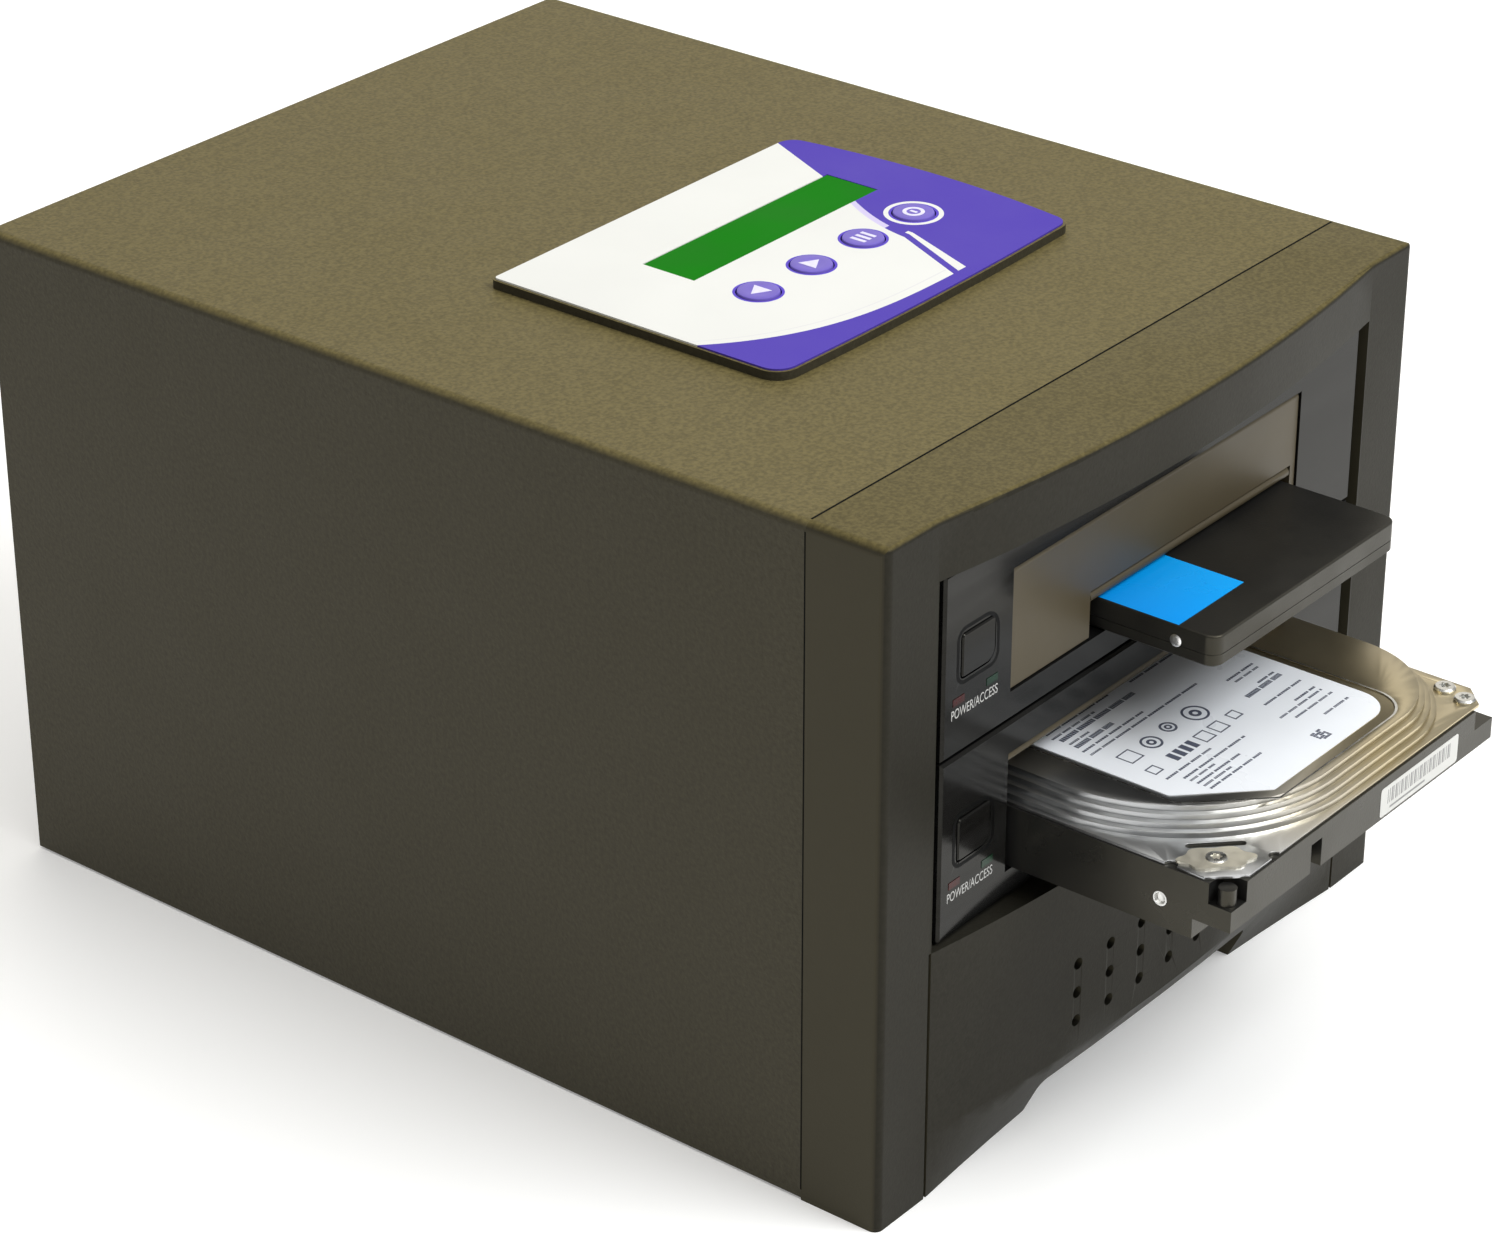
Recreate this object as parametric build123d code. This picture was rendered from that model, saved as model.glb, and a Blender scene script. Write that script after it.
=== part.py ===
from build123d import *
import math
import os

# Hard drive duplicator: a small steel case with a moulded front, two trayless drive racks and a control
# panel on the top. Millimetres, +Z up, the front looks along -Y. While the pieces are made, Y is 0 at the
# front of the bezel's side pillars, X is 0 on the case's middle plane and Z is 0 on the table.

# Case
case_width = 191.0
cover_depth = 228.4
bezel_depth = 19.8
sheet = 1.0
cover_corner = 2.2
cover_gap_to_table = 0.6
cover_lip = 9.0
pan_height = 3.0
pan_flange = 14.0
pan_fit = 0.3
rubber_foot_radius = 7.0
rubber_foot_inset = 22.0

# Bezel
pillar_width = 16.5
bezel_bulge = 6.8
bezel_wall = 2.6
bezel_corner = 2.0
bezel_top_round = 1.2
crease_height = 16.0
foot_setback = 3.6
arch_half_width = 40.0
arch_height = 9.1
arch_corner = 2.4
window_side_gap = 2.8
window_gap = 0.1
rack_clearance = 1.5
groove_width = 0.8
groove_depth = 0.7
vent_columns = 7
vent_rows = 3
vent_pitch_x = 11.1
vent_pitch_z = 7.1
vent_radius = 1.4
vent_low_z = 23.1

# Drive racks
rack_count = 2
rack_pitch = 42.3
rack_base_z = 60.0
head_room = 13.3
rack_height = 41.1
rack_wall = 2.0
rack_face_setback = 0.4
rack_rear_y = 150.0
face_side_width = 22.9
face_overlap = 2.8
face_height = 41.6
face_thickness = 2.0
face_depth = 5.8
face_rim = 1.6
face_bevel = 0.6
flap_gap = 0.3
door_side_gap = 2.1
door_low = 6.8
door_height = 28.0
tray_top = 6.9
tray_thickness = 2.0
bay_ceiling = 39.9
rail_height = 3.0
rail_start_y = 20.0
relief_start_y = 9.0
relief_end_y = 33.0

# Flaps
flap_thickness = 2.4
flap_recess = 0.5
pin_radius = 0.6
running_fit = 0.05
slim_top = 17.8
slim_hinge_gap = 0.5
slim_axle_length = 1.3
flap_full_turn = 88.0
upper_flap_turn = 85.0
slim_full_turn = 97.0
lower_slim_turn = 70.0
rest_gap = 0.3

# Rack button, lenses and switch board
button_inset = 11.4
button_low = 16.9
button_width = 11.8
button_height = 10.4
button_gap = 0.4
button_corner = 1.2
button_soft_corner = 3.2
button_flange = 0.9
button_proud = 0.3
button_travel = 1.0
lens_low = 11.8
lens_height = 1.6
lens_width = 3.8
red_lens_inset = 5.1
green_lens_inset = 16.4
lens_fit = 0.05
led_half = 0.9
led_height = 1.1
switch_board_y = 10.0
switch_board_half = 6.4
board_thickness = 1.6
tact_size = 6.0
tact_height = 3.4

# Backplane
backplane_y = 145.1
socket_width = 37.0
socket_height = 4.6
socket_depth = 5.0
socket_offset = 30.4
socket_low = 8.0
tongue_slot = 1.8
tongue_half = 0.6
tongue_inset = 2.4
plug_depth = 6.0
push_gap = 0.6

# Hard drive, 3.5 inch, single platter height
hdd_width = 101.6
hdd_length = 147.0
hdd_height = 20.2
hdd_front_y = -53.0
hdd_rim = 14.2
hdd_front_raise = 4.6
hdd_front_overhang = 9.0
hdd_pull = 105.0
drive_fit = 0.2
cover_plate = 0.7
ridge_count = 4
ridge_inset = 1.3
screw_height = 6.35
hdd_floor = 6.0
board_recess_y = 69.0
board_recess_z = 2.6
platter_radius = 47.8
platter_y = 50.5

# Solid-state drive, 2.5 inch, 7 mm
ssd_width = 69.85
ssd_length = 100.45
ssd_height = 7.0
ssd_front_y = -27.0
ssd_corner = 3.0
ssd_pull = 85.0
ssd_split = 2.6

# Control panel on the top
panel_x = 1.9
panel_y = 101.5
panel_width = 103.0
panel_depth = 79.0
panel_raise = 2.0
film_thickness = 0.4
film_inset = 0.6
side_bow = 3.5
front_bow = 1.2
lcd_width = 64.5
lcd_depth = 14.0
lcd_x = 8.6
lcd_y = 113.0
lcd_fit = 0.15
key_count = 4
key_pitch = 18.3
key_row_y = 91.5
key_radius = 4.7
key_gap = 0.3
key_proud = 0.5
key_travel = 0.5
key_flange = 1.1
aperture_margin = 2.0
key_board_drop = 9.9

# Inside
psu_width = 81.5
psu_length = 150.0
psu_height = 42.0
psu_wall = 0.8
psu_fan_margin = 0.9
psu_inlet_margin = 3.8
board_gap = 4.5
controller_side_gap = 3.0
controller_length = 150.0
controller_front_y = 70.0
standoff_height = 6.0
bracket_length = 120.0
bracket_start_y = 26.0
bracket_foot = 11.0
bracket_top_margin = 3.0
screw_radius = 1.5
screw_head_radius = 3.0
screw_head = 2.0
screw_clearance = 0.2
seat_fit = 0.05

# Mains inlet and rocker switch, in the power supply's rear
inlet_width = 27.4
inlet_height = 19.8
inlet_wall = 1.7
inlet_lip = 1.4
inlet_fit = 0.1
rocker_width = 19.2
rocker_height = 12.8
rocker_tilt = 10.0
rocker_play = 0.75
rocker_pivot = 0.8

# Fans
fan_size = 80.0
fan_depth = 25.0
fan_hole_half_pitch = 35.75
fan_drop = 53.9
fan_bore = 38.2
fan_tip_gap = 1.2
hub_radius = 14.0
blade_count = 7
guard_wire = 0.8
guard_rings = (9.0, 16.5, 24.0, 31.5, 38.5)
small_fan_size = 40.0
small_fan_depth = 10.0
small_fan_half_pitch = 16.0
small_bore = 18.4
small_hub = 8.0
small_tip_gap = 0.8

# Worked out from the sizes above
rack_top_z = rack_base_z + rack_count * rack_pitch
case_height = rack_top_z + head_room
door_width = hdd_width + 2 * door_side_gap
face_width = door_width + 2 * face_side_width
rack_width = face_width - 2 * face_overlap
half_width = case_width / 2
pillar_inner = half_width - pillar_width
cover_back_y = bezel_depth + cover_depth
lip_front_y = cover_back_y - sheet
rear_face_y = lip_front_y
rear_inner_y = rear_face_y - sheet
pan_half = half_width - sheet - pan_fit
pan_top = pan_height + sheet
cover_under = case_height - sheet
window_half = face_width / 2 + window_side_gap
face_back_y = rack_face_setback + face_depth
door_left = -door_width / 2
door_right = door_width / 2
door_top = door_low + door_height
flap_front_y = rack_face_setback + flap_recess
flap_mid_y = flap_front_y + flap_thickness / 2
flap_half = flap_thickness / 2
flap_axis_z = door_top - flap_gap - flap_half
flap_bottom = tray_top + flap_gap
slim_axis_z = slim_top - slim_hinge_gap - flap_half
hdd_left = -hdd_width / 2
ssd_right = hdd_left + hdd_width - 0.9
ssd_left = ssd_right - ssd_width
slim_left_x = ssd_left - 4.65
slim_right_x = ssd_right + 0.9
button_x = -face_width / 2 + button_inset
red_lens_x = -face_width / 2 + red_lens_inset
green_lens_x = -face_width / 2 + green_lens_inset
socket_x = hdd_left + hdd_width - socket_offset
key_board_z = case_height - key_board_drop
psu_left_x = -rack_width / 2 + 1.0
controller_left_x = psu_left_x + psu_width + board_gap
controller_width = rack_width / 2 - controller_side_gap - controller_left_x
fan_z = case_height - fan_drop
hdd_bottom = tray_top + drive_fit
hdd_back_y = hdd_front_y + hdd_length
ssd_back_y = ssd_front_y + ssd_length
hdd_push = backplane_y - push_gap - hdd_back_y
ssd_push = backplane_y - push_gap - ssd_back_y
film_top = case_height + panel_raise + film_thickness
key_first_x = lcd_x - key_pitch * (key_count - 1) / 2 - 0.9
inlet_half = inlet_width / 2 - inlet_fit
psu_slack = psu_width - psu_fan_margin - small_fan_size - 2 * inlet_half - psu_inlet_margin
inlet_x = psu_left_x + psu_width - psu_inlet_margin - psu_slack / 6 - inlet_half
inlet_z = pan_top + 29.5
rocker_x = inlet_x
rocker_z = pan_top + 9.6
rocker_axis_y = rear_inner_y - 1.0
small_fan_x = psu_left_x + psu_fan_margin + psu_slack / 6 + small_fan_size / 2
small_fan_z = pan_top + psu_height / 2
guard_back_y = lip_front_y + 1.6 * guard_wire
screw_back_y = guard_back_y + screw_head


def block(x, y, z):
    """Box from three (low, high) pairs."""
    spans = [high - low for low, high in (x, y, z)]
    middle = [(low + high) / 2 for low, high in (x, y, z)]
    return Pos(*middle) * Box(*spans)


def rod_x(y, z, radius, low, high):
    """Cylinder along X."""
    return Pos((low + high) / 2, y, z) * Rot(0, 90, 0) * Cylinder(radius, high - low)


def rod_y(x, z, radius, low, high):
    """Cylinder along Y."""
    return Pos(x, (low + high) / 2, z) * Rot(90, 0, 0) * Cylinder(radius, high - low)


def rod_z(x, y, radius, low, high):
    """Cylinder along Z."""
    return Pos(x, y, (low + high) / 2) * Cylinder(radius, high - low)


def rack_z(rack):
    """Height of a rack's base: rack 0 is the lower one, rack 1 the upper one."""
    return rack_base_z + rack * rack_pitch


def rest_turn(reach, height):
    """Turn from closed, in degrees, at which a flap's edge lies at a height below its axis."""
    corner = math.hypot(reach, flap_half)
    return math.degrees(math.atan2(flap_half, reach) + math.acos(height / corner))


# A flap that a drive holds open lies on it with a small gap
lower_rest = rest_turn(flap_axis_z - flap_bottom, flap_axis_z - (hdd_bottom + hdd_height) - rest_gap)
slim_rest = rest_turn(slim_axis_z - flap_bottom, slim_axis_z - (hdd_bottom + ssd_height) - rest_gap)


# Case

def rounded_front(width, bottom, top, radius, y, depth):
    """Slab along Y with an upright rectangle for its front, its two top corners rounded."""
    points = [(-width / 2, bottom), (-width / 2, top), (width / 2, top), (width / 2, bottom)]
    outline = Plane.XZ.offset(-y) * make_face(Polyline(*points, close=True))
    corners = outline.vertices().group_by(Axis.Z)[-1]
    return extrude(fillet(corners, radius), -depth)


def make_cover():
    shell = rounded_front(case_width, cover_gap_to_table, case_height, cover_corner,
                          bezel_depth, cover_depth)
    inner = rounded_front(case_width - 2 * sheet, cover_gap_to_table - 1, cover_under,
                          cover_corner - sheet, bezel_depth - 1, cover_depth - sheet + 1)
    lip_hole = block((-half_width + cover_lip, half_width - cover_lip),
                     (lip_front_y - 1, cover_back_y + 1), (-1, case_height - cover_lip))
    aperture = block((lcd_x - lcd_width / 2 - 7, lcd_x + lcd_width / 2 + 7),
                     (key_row_y - key_radius - aperture_margin, lcd_y + lcd_depth + 1),
                     (cover_under - 1, case_height + 1))
    holes = [rod_y(x, z, screw_radius + screw_clearance, lip_front_y - 1, cover_back_y + 1)
             for x, z in cover_screw_places()]
    return shell - inner - lip_hole - aperture - holes


def cover_screw_places():
    """Screws through the cover's rear lip: three up each side."""
    x = half_width - cover_lip / 2
    return [(side * x, z) for side in (-1, 1) for z in (14.0, case_height / 2, case_height - 11.9)]


def make_cover_screws():
    shank_front = rear_inner_y - 3
    return [rod_y(x, z, screw_radius, shank_front, cover_back_y)
            + rod_y(x, z, screw_head_radius, cover_back_y, cover_back_y + screw_head)
            for x, z in cover_screw_places()]


def foot_places():
    x = half_width - rubber_foot_inset
    front = bezel_depth + rubber_foot_inset
    back = rear_face_y - rubber_foot_inset
    return [(side * x, y) for side in (-1, 1) for y in (front, back)]


def make_pan():
    floor = block((-pan_half, pan_half), (bezel_depth + sheet, rear_inner_y), (pan_height, pan_top))
    for side in (-1, 1):
        x = sorted((side * pan_half, side * (pan_half - sheet)))
        floor += block(x, (bezel_depth + sheet, rear_inner_y), (pan_height, pan_height + pan_flange))
    slots = [block((x - 1.5, x + 1.5), (40, 62), (pan_height - 1, pan_top + 1))
             for x in range(-48, 49, 12)]
    return floor - slots


def make_feet():
    return [rod_z(x, y, rubber_foot_radius, 0, pan_height) for x, y in foot_places()]


def rack_window(half, y):
    """Opening that both racks pass through."""
    return block((-half, half), y, (rack_base_z - window_gap, rack_top_z + window_gap))


def make_front_plate():
    plate = rounded_front(2 * pan_half, pan_height, cover_under - pan_fit, cover_corner,
                          bezel_depth, sheet)
    window = rack_window(rack_width / 2 + rack_clearance, (bezel_depth - 1, bezel_depth + 2))
    slots = [block((x - 3.5, x + 3.5), (bezel_depth - 1, bezel_depth + 2),
                   (vent_low_z - 2, vent_low_z + 17)) for x in range(-44, 45, 11)]
    return plate - window - slots


def make_rear_panel():
    panel = rounded_front(2 * pan_half, pan_height, cover_under - pan_fit, cover_corner,
                          rear_inner_y, sheet)
    panel -= rod_y(0, fan_z, fan_bore, rear_inner_y - 1, rear_face_y + 1)
    panel -= [rod_y(x, z, screw_radius + screw_clearance, rear_inner_y - 1, rear_face_y + 1)
              for x, z in fan_screw_places() + cover_screw_places()]
    panel -= block((psu_left_x + 2, psu_left_x + psu_width - 2), (rear_inner_y - 1, rear_face_y + 1),
                   (pan_top + 1.5, pan_top + psu_height - 1))
    vents = [block((x - 1.2, x + 1.2), (rear_inner_y - 1, rear_face_y + 1), (18, 42))
             for x in range(26, 71, 6)]
    return panel - vents


def bezel_plan(front_arc_y):
    """Plan of the bezel at one height: flat pillars and an arc between them."""
    middle = ThreePointArc((-pillar_inner, 0), (0, front_arc_y), (pillar_inner, 0))
    rest = Polyline((pillar_inner, 0), (half_width, 0), (half_width, bezel_depth),
                    (-half_width, bezel_depth), (-half_width, 0), (-pillar_inner, 0))
    plan = make_face(middle + rest)
    corners = [v for v in plan.vertices() if abs(v.Y) < 0.01 and abs(v.X) > half_width - 0.01]
    return fillet(corners, bezel_corner)


def make_bezel():
    upper = extrude(Pos(0, 0, crease_height) * bezel_plan(-bezel_bulge), case_height - crease_height)
    top_edges = [e for e in upper.edges().group_by(Axis.Z)[-1] if e.center().Y < bezel_depth / 3]
    upper = fillet(top_edges, bezel_top_round)
    crease = Pos(0, 0, crease_height) * bezel_plan(-bezel_bulge)
    chin = loft([bezel_plan(foot_setback), crease], ruled=True)
    body = upper + chin
    body &= rounded_front(case_width, -1, case_height, cover_corner, -20, 60)
    window = rack_window(window_half, (-20, 40))
    arch = block((-arch_half_width, arch_half_width), (-20, 40), (-10, arch_height))
    arch = fillet(arch.edges().filter_by(Axis.Y).group_by(Axis.Z)[-1], arch_corner)
    for side in (-1, 1):
        groove_x = side * pillar_inner
        body -= block((groove_x - groove_width / 2, groove_x + groove_width / 2), (-2, groove_depth),
                      (-1, rack_base_z))
    return body - window - arch - bezel_cavities() - vent_holes()


def bezel_cavities():
    """Hollow behind the front wall: the middle below the racks, the pillars and the feet."""
    front = bezel_wall + 0.4
    reach = pillar_inner - 2
    arc = ThreePointArc((-reach, front), (0, front - bezel_bulge), (reach, front))
    rest = Polyline((reach, front), (reach, bezel_depth + 5), (-reach, bezel_depth + 5), (-reach, front))
    low = crease_height + bezel_wall
    middle = extrude(Pos(0, 0, low) * make_face(arc + rest), rack_base_z - bezel_wall - low)
    over_arch = block((1 - arch_half_width, arch_half_width - 1), (bezel_wall, bezel_depth + 5),
                      (arch_height + bezel_wall, low + 1))
    cavities = [middle, over_arch]
    for side in (-1, 1):
        pillar_x = sorted((side * (window_half + bezel_wall), side * (half_width - bezel_wall)))
        cavities.append(block(pillar_x, (front + 1, bezel_depth + 5),
                              (bezel_wall, case_height - bezel_wall)))
        foot_x = sorted((side * (arch_half_width + bezel_wall), side * (reach - bezel_wall)))
        cavities.append(block(foot_x, (foot_setback + bezel_wall + 1, bezel_depth + 5),
                              (bezel_wall, crease_height)))
    return cavities


def vent_holes():
    first_x = -vent_pitch_x * (vent_columns - 1) / 2
    return [rod_y(first_x + column * vent_pitch_x, vent_low_z + row * vent_pitch_z, vent_radius, -20, 5)
            for column in range(vent_columns) for row in range(vent_rows)]


# Brackets that carry the racks

def bracket_screw_places():
    return [(y, rack_z(rack) + rack_height / 2) for rack in range(rack_count) for y in (46.0, 126.0)]


def make_bracket(side):
    """Upright sheet beside the racks with a foot on the pan; side is -1 on the left, 1 on the right."""
    y = (bracket_start_y, bracket_start_y + bracket_length)
    inner = rack_width / 2
    top = rack_top_z - bracket_top_margin
    plate = block(sorted((side * inner, side * (inner + sheet))), y, (pan_top, top))
    plate += block(sorted((side * inner, side * (inner + bracket_foot))), y, (pan_top, pan_top + sheet))
    wide = sorted((side * (inner - 1), side * (inner + 3)))
    windows = [block(wide, (y[0] + 34, y[1] - 34), (rack_z(rack) + 6, rack_z(rack) + 34))
               for rack in range(rack_count)]
    windows.append(block(wide, (y[0] + 14, y[1] - 14), (pan_top + 10, rack_base_z - 8)))
    low, high = sorted((side * (inner - 1), side * (inner + 3)))
    holes = [rod_x(y_hole, z, screw_radius + screw_clearance, low, high)
             for y_hole, z in bracket_screw_places()]
    return plate - windows - holes


def make_rack_screws():
    screws = []
    for side in (-1, 1):
        inner = rack_width / 2
        for y, z in bracket_screw_places():
            low, high = sorted((side * (inner - rack_wall + 0.4), side * (inner + sheet)))
            head_low, head_high = sorted((side * (inner + sheet), side * (inner + sheet + screw_head)))
            shank = rod_x(y, z, screw_radius, low, high)
            screws.append(shank + rod_x(y, z, screw_head_radius, head_low, head_high))
    return screws


# Racks

def make_rack_shell(rack):
    """Moulded tunnel with a tray floor between two guide walls, and a hollow on each side."""
    base = rack_z(rack)
    half = rack_width / 2
    low = base + 0.3
    top = base + 0.3 + rack_height
    wall = rack_wall
    shell = block((-half, half), (face_back_y, rack_rear_y), (low, top))
    shell -= block((door_left, door_right), (face_back_y - 1, rack_rear_y + 1),
                   (base + tray_top, base + bay_ceiling))
    side_spans = [(-half + wall, door_left - wall), (door_right + wall, half - wall)]
    shell -= [block(span, (face_back_y - 1, rack_rear_y + 1), (low + 1.5, base + bay_ceiling))
              for span in side_spans]
    shell -= block((door_left, door_right), (face_back_y + wall, rack_rear_y + 1),
                   (low - 1, base + tray_top - tray_thickness))
    shell -= block((-half + wall, half - wall), (backplane_y, rack_rear_y + 1),
                   (low + 1.5, base + bay_ceiling))
    shell -= block((slim_left_x - 3, door_right), (relief_start_y, relief_end_y),
                   (base + bay_ceiling - 1, top + 1))
    rail_top = base + tray_top + rail_height
    rail_gap = drive_fit + 0.2
    for x in ((door_left, hdd_left - rail_gap), (hdd_left + hdd_width + rail_gap, door_right)):
        shell += block(x, (rail_start_y, backplane_y - 7), (base + tray_top - 0.5, rail_top))
    for side in (-1, 1):
        hole_low, hole_high = sorted((side * (half - wall - 1), side * (half + 1)))
        shell -= [rod_x(y, z, screw_radius + seat_fit, hole_low, hole_high)
                  for y, z in bracket_screw_places() if low < z < top]
    return shell


def button_face(grow, rack):
    """Outline of the rack's button, one lower corner softer than the others."""
    width = button_width + 2 * grow
    height = button_height + 2 * grow
    middle = (button_x, 0, rack_z(rack) + button_low + button_height / 2)
    face = Plane(origin=middle, x_dir=(1, 0, 0), z_dir=(0, -1, 0)) * Rectangle(width, height)
    soft = face.vertices().sort_by(lambda v: v.Z - v.X)[0]
    others = [v for v in face.vertices() if (v.center() - soft.center()).length > 0.1]
    face = fillet(others, button_corner + grow)
    soft = face.vertices().sort_by(lambda v: v.Z - v.X)[0]
    return fillet(soft, button_soft_corner + grow)


def slab_y(face, low, high):
    """Push an upright XZ outline from one Y station to another."""
    return Pos(0, low, 0) * extrude(face, -(high - low))


def lens_span(rack):
    low = rack_z(rack) + lens_low
    return (low, low + lens_height)


def make_faceplate(rack):
    base = rack_z(rack)
    half = face_width / 2
    low = base + (rack_pitch - face_height) / 2
    top = low + face_height
    front = rack_face_setback
    plate = block((-half, half), (front, face_back_y), (low, top))
    plate = chamfer(plate.faces().sort_by(Axis.Y)[0].edges(), face_bevel)
    door = block((door_left, door_right), (front - 1, face_back_y + 1),
                 (base + door_low, base + door_top))
    spans = [(-half + face_rim, door_left - face_rim), (door_right + face_rim, half - face_rim)]
    pockets = [block(span, (front + face_thickness, face_back_y + 1), (low + face_rim, top - face_rim))
               for span in spans]
    button = slab_y(button_face(0, rack), front - 1, front + face_thickness + 1)
    half_lens = lens_width / 2 + lens_fit
    lenses = [block((x - half_lens, x + half_lens), (front - 1, face_back_y),
                    (lens_span(rack)[0] - lens_fit, lens_span(rack)[1] + lens_fit))
              for x in (red_lens_x, green_lens_x)]
    pin_holes = rod_x(flap_mid_y, base + flap_axis_z, pin_radius + seat_fit / 5,
                      door_left - face_rim, door_right + face_rim)
    plate = plate - door - pockets - button - lenses - pin_holes
    for z in (base + 6.5, base + 35.5):
        plate += rod_y(button_x, z, 2.0, front + face_thickness, switch_board_y)
    return plate


def make_lens(rack, x):
    """Light guide: a wide front in the faceplate and a narrow tail to its light source."""
    head = block((x - lens_width / 2, x + lens_width / 2), (rack_face_setback - 0.1, face_back_y - 0.5),
                 lens_span(rack))
    tail_x = led_x(x)
    tail_y = (face_back_y - 0.5, switch_board_y - led_height - 0.1)
    return head + block((tail_x - led_half, tail_x + led_half), tail_y, lens_span(rack))


def led_x(lens_x):
    """Place of the light source behind a lens, kept inside the rack's side hollow."""
    return max(lens_x, -rack_width / 2 + rack_wall + led_half + 0.3)


def make_button(rack):
    z = rack_z(rack) + button_low + button_height / 2
    front = rack_face_setback - button_proud
    back = rack_face_setback + face_thickness
    cap = slab_y(button_face(-button_gap, rack), front, back)
    cap = chamfer(cap.faces().sort_by(Axis.Y)[0].edges(), 0.3)
    cap += slab_y(button_face(button_flange, rack), back, back + 1)
    return cap + rod_y(button_x, z, 1.5, back + 1, switch_board_y - tact_height - button_travel - 0.1)


def make_switch_board(rack):
    base = rack_z(rack)
    z = base + button_low + button_height / 2
    board = block((button_x - switch_board_half, button_x + switch_board_half),
                  (switch_board_y, switch_board_y + 1.2),
                  (base + 4, base + 38))
    board += block((button_x - tact_size / 2, button_x + tact_size / 2),
                   (switch_board_y - tact_height, switch_board_y), (z - tact_size / 2, z + tact_size / 2))
    low, high = lens_span(rack)
    for x in (led_x(red_lens_x), led_x(green_lens_x)):
        board += block((x - led_half, x + led_half), (switch_board_y - led_height, switch_board_y),
                       (low, high))
    return board


def make_flap_pin(rack):
    return rod_x(flap_mid_y, rack_z(rack) + flap_axis_z, pin_radius,
                 door_left - face_rim, door_right + face_rim)


def hinged_leaf(x, axis_z, bottom, base):
    """Flat leaf whose top edge is rounded about its hinge axis."""
    leaf = block(x, (flap_front_y, flap_front_y + flap_thickness), (base + bottom, base + axis_z))
    return leaf + rod_x(flap_mid_y, base + axis_z, flap_half, *x)


def flap_axis(rack):
    return Axis((0, flap_mid_y, rack_z(rack) + flap_axis_z), (1, 0, 0))


def slim_axis(rack):
    return Axis((0, flap_mid_y, rack_z(rack) + slim_axis_z), (1, 0, 0))


def make_flap(rack):
    base = rack_z(rack)
    x = (door_left + flap_gap, door_right - flap_gap)
    flap = hinged_leaf(x, flap_axis_z, flap_bottom, base)
    flap -= rod_x(flap_mid_y, base + flap_axis_z, pin_radius + running_fit, x[0] - 1, x[1] + 1)
    flap -= block((slim_left_x, slim_right_x), (flap_front_y - 1, flap_front_y + flap_thickness + 1),
                  (base, base + slim_top))
    flap -= rod_x(flap_mid_y, base + slim_axis_z, pin_radius + running_fit,
                  slim_left_x - slim_axle_length - 0.2, slim_right_x + slim_axle_length + 0.2)
    return flap.rotate(flap_axis(rack), 0 if rack else lower_rest)


def make_slim_flap(rack):
    base = rack_z(rack)
    x = (slim_left_x + flap_gap, slim_right_x - flap_gap)
    flap = hinged_leaf(x, slim_axis_z, flap_bottom, base)
    flap += rod_x(flap_mid_y, base + slim_axis_z, pin_radius, slim_left_x - slim_axle_length,
                  slim_right_x + slim_axle_length)
    if rack:
        return flap.rotate(slim_axis(rack), slim_rest)
    return flap.rotate(flap_axis(rack), lower_rest)


def make_backplane(rack):
    base = rack_z(rack)
    half = rack_width / 2 - rack_wall - 0.2
    board = block((-half, half), (backplane_y, backplane_y + board_thickness),
                  (base + 2.1, base + bay_ceiling - 0.2))
    for x, width in ((-30.0, 22.0), (socket_x, 30.0)):
        board += block((x - width / 2, x + width / 2),
                       (backplane_y + board_thickness, backplane_y + board_thickness + 6),
                       (base + 12, base + 18))
    return board


def make_socket(rack):
    """Receptacle on the backplane with its tongue slot."""
    base = rack_z(rack)
    low = base + socket_low
    middle = low + socket_height / 2
    body = block((socket_x - socket_width / 2, socket_x + socket_width / 2),
                 (backplane_y - socket_depth, backplane_y), (low, low + socket_height))
    slot = block((socket_x - socket_width / 2 + 2, socket_x + socket_width / 2 - 2),
                 (backplane_y - socket_depth - 1, backplane_y - 0.8),
                 (middle - tongue_slot / 2, middle + tongue_slot / 2))
    return body - slot


# Hard drive

def hdd_place(x, y, z):
    """Corner of the hard drive's own frame: from its left side, front end and bottom."""
    return Pos(hdd_left + x, hdd_front_y + y, rack_z(0) + hdd_bottom + z)


def hdd_block(x, y, z):
    return hdd_place(0, 0, 0) * block(x, y, z)


def make_hdd_base():
    base = hdd_block((0, hdd_width), (0, hdd_length), (hdd_front_raise, hdd_rim))
    base += hdd_block((0, hdd_width), (hdd_front_overhang, hdd_length), (0, hdd_front_raise))
    corner = hdd_place(0, 0, 0)
    base -= hdd_block((-1, 5.5), (-1, 5.5), (9.5, hdd_rim + 1))
    base -= hdd_block((hdd_width - 7.5, hdd_width + 1), (-1, 5.5), (9.5, hdd_rim + 1))
    base += corner * rod_z(2.4, 2.6, 1.9, 9, 13.4)
    base -= hdd_block((29.5, 33.5), (-1, 3.0), (0, 11.3))
    base -= hdd_block((6, hdd_width - 6), (board_recess_y, hdd_length + 1), (-1, board_recess_z))
    base -= hdd_block((hdd_width - 54, hdd_width - 6.2), (hdd_length - plug_depth, hdd_length + 1),
                      (-1, 8.2))
    base -= corner * rod_z(hdd_width / 2, platter_y, platter_radius, hdd_floor, hdd_rim + 1)
    base -= hdd_block((18, hdd_width - 18), (platter_y + 30, hdd_length - 10), (hdd_floor, hdd_rim + 1))
    for y in (16.9, 76.9, 118.5):
        base -= corner * rod_x(y, screw_height, 1.75, -1, 3.6)
        base -= corner * rod_x(y, screw_height, 1.75, hdd_width - 3.6, hdd_width + 1)
    return base


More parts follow.
